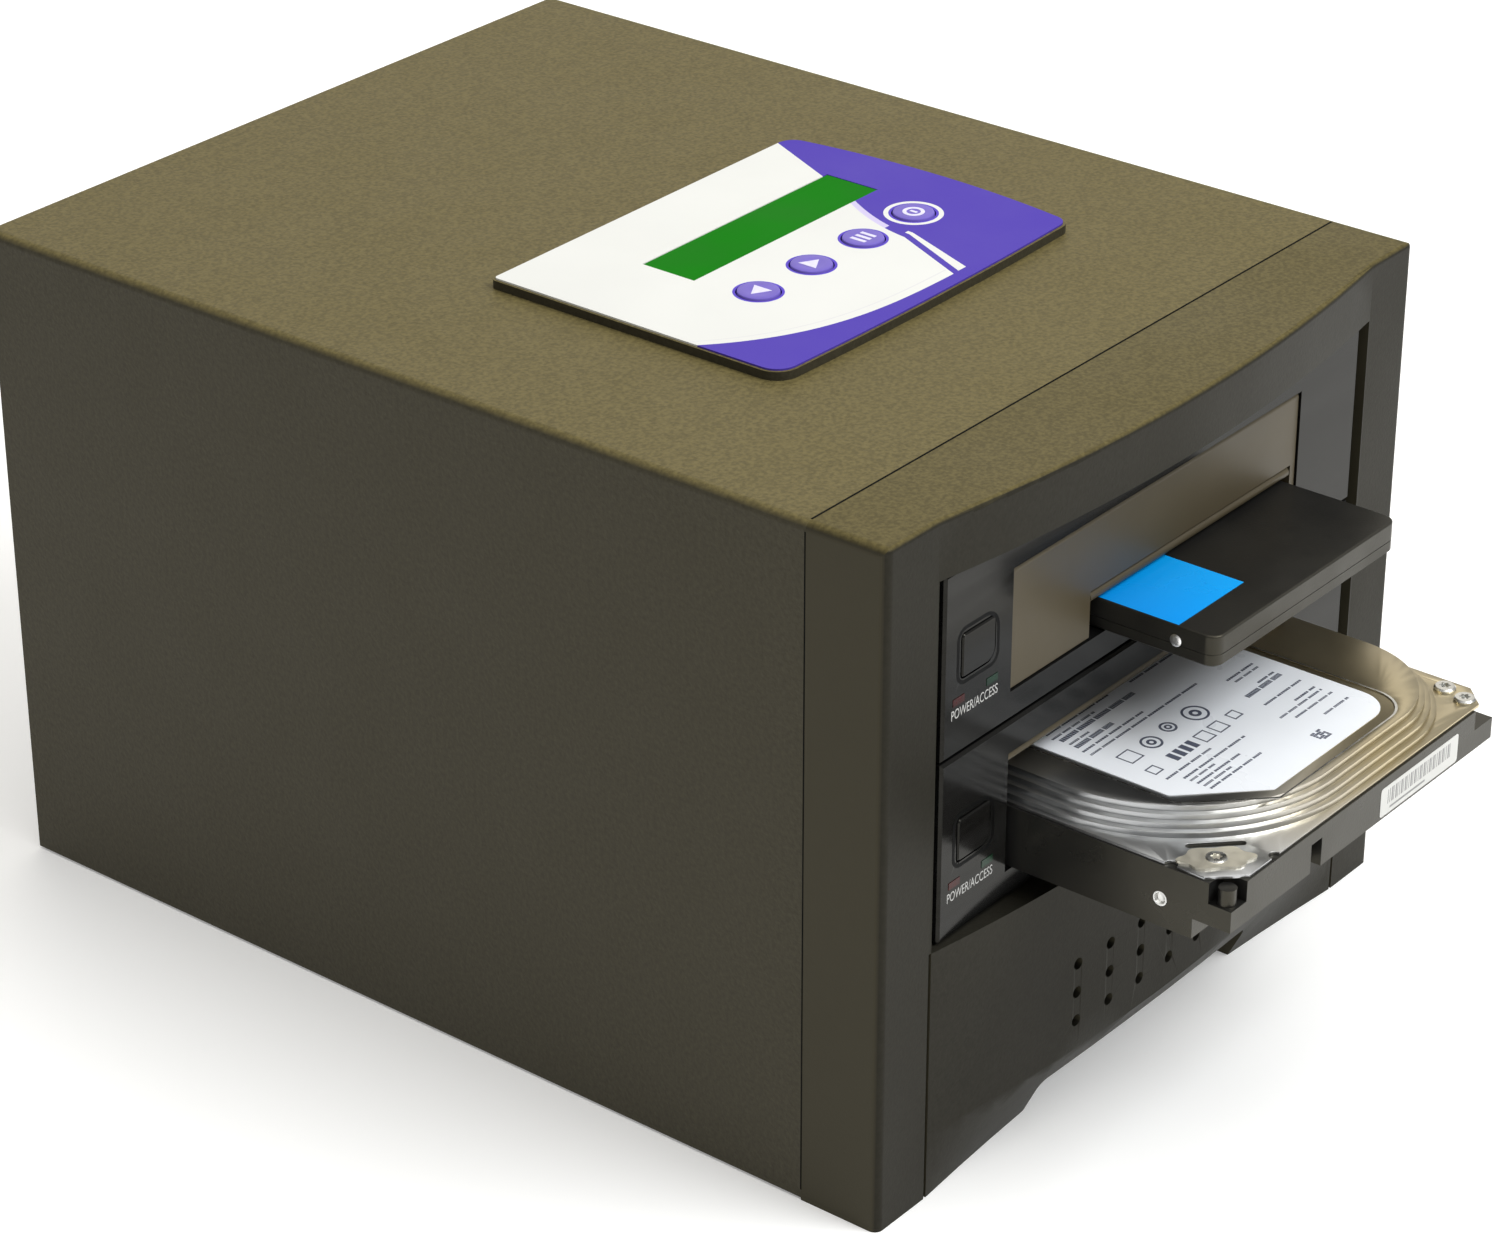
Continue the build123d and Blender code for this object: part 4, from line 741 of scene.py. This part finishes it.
class DUPLICATOR_OT_hard_drive(bpy.types.Operator):
    """Finish the hard drive: stamped lid, coated casting, screws and two labels"""
    bl_idname = "duplicator.hard_drive"
    bl_label = "Hard drive"

    def execute(self, context):
        settings = context.scene.duplicator_drive
        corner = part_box("hdd_base")[0]
        dress(["hdd_base"], moulded_black("drive_casting", settings.casting, 0.30), 0.2 * MM)
        dress(["hdd_cover"], self.stamped(settings))
        self.round_ridges(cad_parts["hdd_cover"])
        dress(["hdd_board"], circuit_board())
        dress(["hdd_plug"], moulded_black("plug_plastic"))
        self.screws(corner)
        self.tab(corner)
        self.inserts(corner)
        self.top_label(corner, settings)
        self.end_label(corner)
        return {"FINISHED"}

    def stamped(self, settings):
        """Smooth stainless sheet with a painted reflection: cool on the left and warm on the right."""
        material = finish("stamped_steel_painted_reflection", settings.steel, 0.30, 1.0, mottle=(120, 0.04), wear=(150, 0.01))
        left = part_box("hdd_cover")[0].x
        cool_reflection_end, warm_reflection_start = left + 12 * MM, left + 60 * MM
        # Painted reflection, from the cool colour on the left to the warm one on the right
        across = remap(material, place_axes(material)["X"], cool_reflection_end, warm_reflection_start)
        paint(material, mixed(material, across, settings.cool_reflection, painted_with(material)))
        return material

    def round_ridges(self, lid):
        """Round the stamped ridges and keep the flats between them flat."""
        bevelled(lid, 0.4 * MM, 3, 40).harden_normals = True

    def tab(self, corner):
        """Lobed spring tab under the front left screw, lying across the drive's corner."""
        x, y = TAB_SCREW
        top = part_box("hdd_screws")[1].z - SCREW_HEIGHT * MM
        diagonal = 0.7071
        place = facing((diagonal, -diagonal, 0), (diagonal, diagonal, 0),
                       corner.x + x * MM, corner.y + y * MM, top)
        half_length, half_width, thickness = 7.6 * MM, 4.1 * MM, 0.5 * MM
        lobe_count, lobe_depth = 6, 0.10
        steps = 48
        outline = []
        for step in range(steps):
            angle = FULL_TURN * step / steps
            lobe = 1 + lobe_depth * math.cos(lobe_count * angle)
            outline.append((half_length * lobe * math.cos(angle), half_width * lobe * math.sin(angle)))
        sheet = finish("tab_steel", (0.86, 0.82, 0.70), 0.42, 1.0, mottle=(300, 0.05), wear=(400, 0.05))
        tile_piece("hdd_spring_tab", [outline], place, 0, thickness, sheet, "hdd")

    def inserts(self, corner):
        """Bright threaded bushes in the side holes."""
        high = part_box("hdd_base")[1]
        rings = in_mm((1.65, -1.6), (1.65, -0.05), (1.3, -0.05), (0.95, -0.8), (0.3, -0.9))
        places = both_sides(corner, high, [corner.y + y * MM for y in SIDE_HOLES],
                            corner.z + SIDE_HOLE_HEIGHT * MM)
        steel = finish("bush_steel", (0.8, 0.8, 0.78), 0.3, 1.0, wear=(400, 0.05))
        turned_piece("hdd_insert_set", rings, places, 32, steel, "hdd")

    def screws(self, corner):
        """Star recess heads on the lid's tabs."""
        radius = 2.4 * MM
        height = SCREW_HEIGHT * MM
        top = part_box("hdd_screws")[1].z - height
        recess = lobes(1.25 * MM, 0.85 * MM, 6)
        rings = [(radius, 0), (radius, 0.35 * MM), (0.86 * radius, 0.75 * MM),
                 (0.62 * radius, height), (recess, height), (recess, 0.1 * MM)]
        places = [facing_up(corner.x + x * MM, corner.y + y * MM, top) for x, y in LID_SCREWS]
        piece = turned_piece("hdd_screw_set", rings, places, 72, bright_steel(), "hdd")
        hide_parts("hdd_screws")

    def top_label(self, corner, settings):
        """Paper label in the lid's recess: generic rows of print, plain rings and boxes."""
        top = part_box("hdd_cover")[1].z - LABEL_RECESS_DEPTH * MM
        place = facing_up(corner.x, corner.y, top)
        outline = rounded(in_mm(*LABEL_CORNERS))
        paper = finish("label_paper", settings.paper, 0.30, mottle=(45, 0.03), grain=(700, 0.006 * MM))
        tile_piece("hdd_top_label", [outline], place, 0, 0.12 * MM, paper, "hdd")
        rim = frame_tiles(self.recess(0.45), self.recess(0.05))
        tile_piece("hdd_recess_rim", rim, place, 0.25 * MM, 0.32 * MM, bright_steel(), "hdd")
        ring_line, box_line = 0.55, 0.35
        bar_width, bar_front, bar_back = 1.5, 32.2, 35.4
        marks = []
        for rows, height in ((SMALL_ROWS, 0.6), (LARGE_ROWS, 1.25)):
            for left, right, y in rows:
                marks += self.small_print(left, right, y, height)
        for x, y, radius in PRINTED_RINGS:
            marks += ring(x * MM, y * MM, radius * MM, (radius - ring_line) * MM)
            marks += ring(x * MM, y * MM, 0.45 * radius * MM, 0.2 * radius * MM)
        for x, y, half in PRINTED_BOXES:
            marks += frame_tiles(self.square(x, y, half), self.square(x, y, half - box_line))
        marks += [in_mm(*rectangle(x, x + bar_width, bar_front, bar_back)) for x in PRINTED_BARS]
        marks += self.dots(54.3, 13.4)
        ink = print_ink("label_ink", settings.ink)
        tile_piece("hdd_label_print", marks, place, 0.11 * MM, 0.15 * MM, ink, "hdd")

    def recess(self, grow):
        """Outline of the label's recess in the lid, grown by some millimetres."""
        left, right, front, back = 13.9 - grow, 79.0 + grow, 7.8 - grow, 96.8 + grow
        cut = 15.0
        tight, wide = 0.5, 8.0
        return rounded(in_mm((left, front + cut, tight), (left + cut, front, tight), (right, front, wide),
                             (right, back, tight), (left, back, tight)))

    def small_print(self, left, right, y, height):
        """One row of strokes in word-like groups, in millimetres from the drive's corner."""
        gap, word_gap = 0.14, 0.6
        thin, swell = 0.3, 0.3
        letters = 5 + int(y) % 4
        strokes = []
        x = left
        count = 0
        while x < right:
            count += 1
            width = thin + swell * abs(math.sin(3.1 * count + y))
            strokes.append(in_mm(*rectangle(x, x + width, y, y + height)))
            x += width + (word_gap if count % letters == 0 else gap)
        return strokes

    def square(self, x, y, half):
        return in_mm(*rectangle(x - half, x + half, y - half, y + half))

    def dots(self, left, front):
        """Plain block of small squares, five by five with one left out in each row."""
        across = 5
        pitch = 0.7
        side = 0.6
        block = []
        for index in range(across * across):
            row, column = divmod(index, across)
            if index * 7 % across != row:
                x, y = left + pitch * column, front + pitch * row
                block.append(in_mm(*rectangle(x, x + side, y, y + side)))
        return block

    def end_label(self, corner):
        """Small label with stripes on the drive's end, its places being x and z."""
        place = facing_front(corner.x, corner.y, corner.z)
        outline = rounded(in_mm(*((x, z, 0.8) for x, z in rectangle(56.2, 87.2, 5.2, 12.0))))
        paper = finish("end_label_paper", (0.60, 0.60, 0.58), 0.4, mottle=(60, 0.05), grain=(700, 0.01 * MM))
        tile_piece("hdd_end_label", [outline], place, 0, 0.08 * MM, paper, "hdd")
        left, pitch, low, high = 59.0, 0.75, 7.6, 11.0
        narrow, extra = 0.22, 0.28
        count = 34
        stripes = []
        for index in range(count):
            x = left + index * pitch
            width = narrow + extra * (index * 7 % 5 > 2)
            stripes.append(in_mm(*rectangle(x, x + width, low, high)))
        stripes.append(in_mm(*rectangle(60, 74, 6.2, 6.7)))
        ink = print_ink("end_ink", (0.25, 0.25, 0.25))
        tile_piece("hdd_end_print", stripes, place, 0.07 * MM, 0.10 * MM, ink, "hdd")


# Slim drive

class DUPLICATOR_OT_slim_drive(bpy.types.Operator):
    """Finish the slim drive and its plain blue label"""
    bl_idname = "duplicator.slim_drive"
    bl_label = "Slim drive"

    def execute(self, context):
        settings = context.scene.duplicator_drive
        black = moulded_black("slim_case", settings.slim, 0.40)
        dress(["ssd_shell", "ssd_base"], black, 0.2 * MM)
        low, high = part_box("ssd_shell")
        self.label(low, high, settings)
        self.side_screws(low, high)
        return {"FINISHED"}

    def label(self, low, high, settings):
        """Blue label at the left edge, a little paler towards its right."""
        left, right, front, back = 0.4, 24.5, 9.5, 36
        place = facing_up(low.x, low.y, high.z)
        outline = in_mm(*rectangle(left, right, front, back))
        blue = finish("blue_label", settings.blue, 0.30, mottle=(40, 0.05), grain=(900, 0.006 * MM))
        across = remap(blue, place_axes(blue)["X"], low.x, low.x + right * MM)
        paint(blue, mixed(blue, across, settings.blue, (0.004, 0.36, 0.90)))
        tile_piece("ssd_label", [outline], place, 0, 0.06 * MM, blue, "ssd")

    def side_screws(self, low, high):
        """Bright screws in the drive's sides, at the standard distances from the plug's end."""
        rings = in_mm((1.4, -0.1), (1.4, 0.02), (1.1, 0.14), (0.6, 0.2), (0.3, 0.2))
        from_plug = (14.0, 90.6)
        rise = 0.9 * MM
        places = both_sides(low, high, [high.y - y * MM for y in from_plug], low.z + rise)
        chrome = finish("chrome", (0.9, 0.9, 0.9), 0.3, 1.0, wear=(400, 0.05))
        turned_piece("ssd_insert_set", rings, places, 32, chrome, "ssd")


# Control panel

class DUPLICATOR_OT_panel(bpy.types.Operator):
    """Print the panel's film, light the display window and mark the keys"""
    bl_idname = "duplicator.panel"
    bl_label = "Control panel"

    def execute(self, context):
        settings = context.scene.duplicator_panel
        dress(["control_plate"], powder_coat(context.scene.duplicator_case), 0.3 * MM)
        dress(["control_film"], self.film(settings))
        dress(["lcd_window"], self.display(settings))
        dress(["lcd_module", "key_board", "controller_board"], circuit_board())
        dress(["board_standoffs"], finish("standoff_nylon", (0.6, 0.58, 0.5), 0.45))
        self.key_caps()
        return {"FINISHED"}

    def film(self, settings):
        """Pale field on violet: a slanting edge at the top right that curves round the keys,
        a front edge that sweeps up to the left, and a pale stroke between the field and the fourth key."""
        material = finish("panel_film", settings.white, 0.45, mottle=(30, 0.02), grain=(400, 0.01 * MM),
                          sockets={"Specular IOR Level": 0.06})
        low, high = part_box("control_film")
        place_x, place_y, _ = place_axes(material)

        def under(first, second):
            return maths(material, "LESS_THAN", first, second)

        def both(first, second):
            return maths(material, "MULTIPLY", first, second)

        def sum_of(first, second):
            return maths(material, "ADD", first, second)

        def less(first, second):
            return maths(material, "SUBTRACT", first, second)

        def between(low_end, value, high_end):
            return both(under(low_end, value), under(value, high_end))

        # From here on x and y are in millimetres, from the film's middle and from its front edge
        x = maths(material, "DIVIDE", less(place_x, (low.x + high.x) / 2), MM)
        y = maths(material, "DIVIDE", less(place_y, low.y), MM)

        # Right edge of the pale field: the lesser of a slanting line and a curve
        slope, slope_x = 0.464, 8.5
        bend, bend_x, bend_y = 0.0118, 19.1, 18.0
        slant = sum_of(both(y, slope), slope_x)
        rise = sum_of(y, -bend_y)
        curve = sum_of(both(both(rise, rise), bend), bend_x)
        edge = maths(material, "MINIMUM", slant, curve)

        # Front edge of the pale field, which sweeps up towards the left
        sweep_x, sweep_length, sweep_rise, front_y, steepness = 20.3, 70.5, 17.4, 3.4, 3.5
        reach = maths(material, "MAXIMUM", both(sum_of(both(x, -1.0), sweep_x), 1 / sweep_length), 0.0)
        front = sum_of(both(maths(material, "POWER", reach, steepness), sweep_rise), front_y)
        violet = maths(material, "MAXIMUM", under(edge, x), under(y, front))
        colour = mixed(material, violet, painted_with(material), settings.violet)

        # Thin grey line behind the front edge
        line_away, line_half, line_gap = 2.6, 0.18, 0.6
        away = maths(material, "ABSOLUTE", sum_of(less(front, y), line_away))
        line = both(under(away, line_half), under(x, sum_of(edge, -line_gap)))
        colour = mixed(material, line, colour, (0.62, 0.62, 0.63))

        # Pale stroke right of the field, narrower towards the back
        stroke_away, stroke_width, taper, stroke_front, stroke_back = 1.9, 3.0, 0.075, 3.6, 25.0
        beside = less(less(x, edge), stroke_away)
        width = sum_of(both(y, -taper), stroke_width)
        stroke = both(between(0.0, beside, width), between(stroke_front, y, stroke_back))
        colour = mixed(material, stroke, colour, painted_with(material))

        # Paler violet beside the slanting edge, a painted highlight
        band_width, band_front, band_back = 1.7, 30.0, 45.0
        painted_highlight = both(between(edge, x, sum_of(edge, band_width)), between(band_front, y, band_back))
        colour = mixed(material, painted_highlight, colour, (0.55, 0.50, 0.72))

        # Violet ring round each key, with a pale one round it at the fourth
        ring_radius, pale_radius = 5.6 * MM, 6.7 * MM
        for name in ("key_1", "key_2", "key_3", "key_4"):
            key_low, key_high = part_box(name)
            middle = (key_low + key_high) / 2
            along = less(place_x, middle.x)
            across = less(place_y, middle.y)
            distance = maths(material, "SQRT", sum_of(both(along, along), both(across, across)))
            if name == "key_4":
                colour = mixed(material, under(distance, pale_radius), colour, settings.white)
            colour = mixed(material, under(distance, ring_radius), colour, shade(settings.violet, 1.3))
        paint(material, colour)
        return material

    def display(self, settings):
        """Dark green window with a faint light behind it."""
        return finish("display_green", settings.green, 0.5, mottle=(80, 0.05),
                      sockets={"Specular IOR Level": 0.03, "Emission Color": (*settings.green, 1.0),
                               "Emission Strength": 0.15})

    def key_caps(self):
        """Dished key caps with a rounded rim, each with its own plain mark."""
        cap = finish("key_cap", (0.15, 0.11, 0.47), 0.35, mottle=(300, 0.06), grain=(800, 0.008 * MM),
                     sockets={"Specular IOR Level": 0.2})
        ink = print_ink("key_ink", (0.66, 0.64, 0.80))
        marks = {
            "key_1": [[(-2.6, 0), (1.6, -2.4), (1.6, 2.4)]],
            "key_2": [[(2.6, 0), (-1.6, 2.4), (-1.6, -2.4)]],
            "key_3": [rectangle(x, x + 1.0, -2.0, 2.0) for x in (-2.3, -0.5, 1.3)],
            "key_4": ring(0, 0, 2.5, 1.6) + [rectangle(-0.4, 0.4, -0.9, 0.9)],
        }
        radius = 4.7 * MM
        # Shares of the radius, with millimetres under the key's top
        profile = ((1, 3.0), (1, 0.45), (0.97, 0.15), (0.88, 0), (0.6, 0.12), (0.2, 0.18))
        for name, outlines in marks.items():
            low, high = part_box(name)
            middle = (low + high) / 2
            rings = [(share * radius, high.z - depth * MM) for share, depth in profile]
            places = [facing_up(middle.x, middle.y, 0)]
            piece = turned_piece(f"{name}_cap", rings, places, 48, cap, name)
            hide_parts(name)
            place = facing_up(middle.x, middle.y, high.z)
            drawn = [in_mm(*outline) for outline in outlines]
            tile_piece(f"{name}_mark", drawn, place, -0.2 * MM, -0.09 * MM, ink, name)


# Rear and inside

class DUPLICATOR_OT_rear(bpy.types.Operator):
    """Finish the power inlet, the mains switch, the fans and their guard"""
    bl_idname = "duplicator.rear"
    bl_label = "Rear"

    def execute(self, context):
        black = moulded_black("inlet_plastic", roughness=0.38)
        dress(["power_inlet", "rocker_housing"], black, 0.3 * MM)
        dress(["power_rocker"], moulded_black("rocker_plastic", (0.008, 0.008, 0.008), 0.22), 0.3 * MM)
        fans = ["rear_fan_frame", "psu_fan_frame", "rear_fan_rotor", "psu_fan_rotor"]
        dress(fans, moulded_black("fan_plastic"))
        dress(["rear_fan_guard"], bright_steel())
        dress(["fan_screws"], bright_steel(), 0.25 * MM)
        smooth(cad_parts["rear_fan_guard"])
        self.rocker_marks()
        return {"FINISHED"}

    def rocker_marks(self):
        """Line and ring on the two halves of the rocker's shallow V."""
        low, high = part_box("power_rocker")
        pivot_x, pivot_y = low.x + 8.43 * MM, high.y - 4.54 * MM
        pivot = Vector((pivot_x, pivot_y, (low.z + high.z) / 2))
        half_length, middle_height, rise, tilt = 8.0, 2.0, 1.2, 10.0
        swing = Matrix.Rotation(math.radians(tilt), 3, "Z")
        ink = print_ink("rocker_ink", (0.7, 0.7, 0.68))
        line = [in_mm(*rectangle(-0.3, 0.3, -1.6, 1.6))]
        for name, side, outlines in (("rocker_line", 1, line),
                                     ("rocker_ring", -1, ring(0, 0, 1.7 * MM, 1.15 * MM))):
            across = swing @ Vector((-half_length, -rise * side, 0)).normalized()
            spot = pivot + swing @ Vector((half_length / 2 * side * MM, (middle_height + rise / 2) * MM, 0))
            place = facing(across, (0, 0, 1), *spot)
            tile_piece(name, outlines, place, -0.02 * MM, 0.04 * MM, ink, "rocker")


# Stage. The camera stands where the photograph's did, found from the two drives' standard sizes.

CAMERA_PLACE = (-0.6976, -0.54624, 0.5421)
CAMERA_TURN = math.radians(-51.39)
CAMERA_TILT = math.radians(28.02)
SENSOR_WIDTH = 36

# Soft boxes: name, place, height of the point that they look at, side, power in watts, colour
SOFT_BOXES = (
    ("overhead", (0.1, -0.4, 1.7), 0.1, 2.4, 24, (1.0, 0.98, 0.93)),
    ("behind", (1.1, 1.0, 1.0), 0.1, 1.4, 4, (1.0, 0.94, 0.82)),
    ("front", (0.3, -1.3, 1.6), 0.08, 0.9, 24, (0.97, 0.99, 1.0)),
)


class DUPLICATOR_OT_stage(bpy.types.Operator):
    """Lay the floor, hang the soft boxes and set up the camera"""
    bl_idname = "duplicator.stage"
    bl_label = "Stage"

    def execute(self, context):
        settings = context.scene.duplicator_stage
        self.floor(context, settings)
        self.world(context)
        for name, place, target_height, side, power, colour in SOFT_BOXES:
            self.soft_box(context, name, place, (0, 0, target_height), side, power * settings.light, colour)
        self.camera(context, settings)
        return {"FINISHED"}

    def floor(self, context, settings):
        """Pale sheet just under the feet."""
        reach = 6.0
        clearance = 0.05 * MM
        mesh = bpy.data.meshes.new("floor")
        mesh.from_pydata([(x, y, 0) for x, y in rectangle(-reach, reach, -reach, reach)], [], [(0, 1, 2, 3)])
        floor = bpy.data.objects.new("floor", mesh)
        floor.location.z = -clearance
        white = (1.0, 1.0, 1.0, 1.0)
        paper = finish("floor_paper", settings.floor, 0.6, mottle=(4, 0.01), wear=(3, 0.05),
                       sockets={"Specular IOR Level": 0.1, "Emission Color": white, "Emission Strength": 0.2})
        mesh.materials.append(paper)
        context.scene.collection.objects.link(floor)

    def world(self, context):
        """Even light from all around."""
        world = bpy.data.worlds.new("studio")
        world.use_nodes = True
        backdrop = world.node_tree.nodes["Background"]
        backdrop.inputs["Color"].default_value = (0.98, 0.97, 0.95, 1.0)
        backdrop.inputs["Strength"].default_value = 0.4
        context.scene.world = world
        context.scene.view_settings.view_transform = "Standard"

    def soft_box(self, context, name, place, target, side, power, colour):
        data = bpy.data.lights.new(name, "AREA")
        data.shape = "SQUARE"
        data.size = side
        data.energy = power
        data.color = colour
        lamp = bpy.data.objects.new(name, data)
        lamp.location = place
        lamp.rotation_euler = (Vector(target) - Vector(place)).to_track_quat("-Z", "Y").to_euler()
        context.scene.collection.objects.link(lamp)

    def camera(self, context, settings):
        """Camera that looks at the machine from its front left."""
        data = bpy.data.cameras.new("camera")
        data.lens = settings.lens
        data.sensor_width = SENSOR_WIDTH
        camera = bpy.data.objects.new("camera", data)
        camera.location = CAMERA_PLACE
        level = math.cos(CAMERA_TILT)
        ahead = Vector((-math.sin(CAMERA_TURN) * level, math.cos(CAMERA_TURN) * level,
                        -math.sin(CAMERA_TILT)))
        camera.rotation_euler = ahead.to_track_quat("-Z", "Y").to_euler()
        context.scene.collection.objects.link(camera)
        context.scene.camera = camera


class DUPLICATOR_PT_panel(bpy.types.Panel):
    """Sidebar panel that lists the pieces in building order"""
    bl_idname = "DUPLICATOR_PT_panel"
    bl_label = "Drive duplicator"
    bl_space_type = "VIEW_3D"
    bl_region_type = "UI"
    bl_category = "Duplicator"

    def draw(self, context):
        for name, group in SETTINGS.items():
            box = self.layout.box()
            for key in group.__annotations__:
                box.prop(getattr(context.scene, name), key)
        for operator in OPERATORS:
            self.layout.operator(operator.bl_idname)


OPERATORS = (
    DUPLICATOR_OT_case,
    DUPLICATOR_OT_racks,
    DUPLICATOR_OT_hard_drive,
    DUPLICATOR_OT_slim_drive,
    DUPLICATOR_OT_panel,
    DUPLICATOR_OT_rear,
    DUPLICATOR_OT_stage,
)


def register():
    for group in (*SETTINGS.values(), *OPERATORS, DUPLICATOR_PT_panel):
        bpy.utils.register_class(group)
    for name, group in SETTINGS.items():
        setattr(bpy.types.Scene, name, bpy.props.PointerProperty(type=group))


def unregister():
    for name in SETTINGS:
        delattr(bpy.types.Scene, name)
    for group in reversed((*SETTINGS.values(), *OPERATORS, DUPLICATOR_PT_panel)):
        bpy.utils.unregister_class(group)


def main():
    register()
    for operator in OPERATORS:
        category, name = operator.bl_idname.split(".")
        getattr(getattr(bpy.ops, category), name)()


if __name__ == "__main__":
    main()
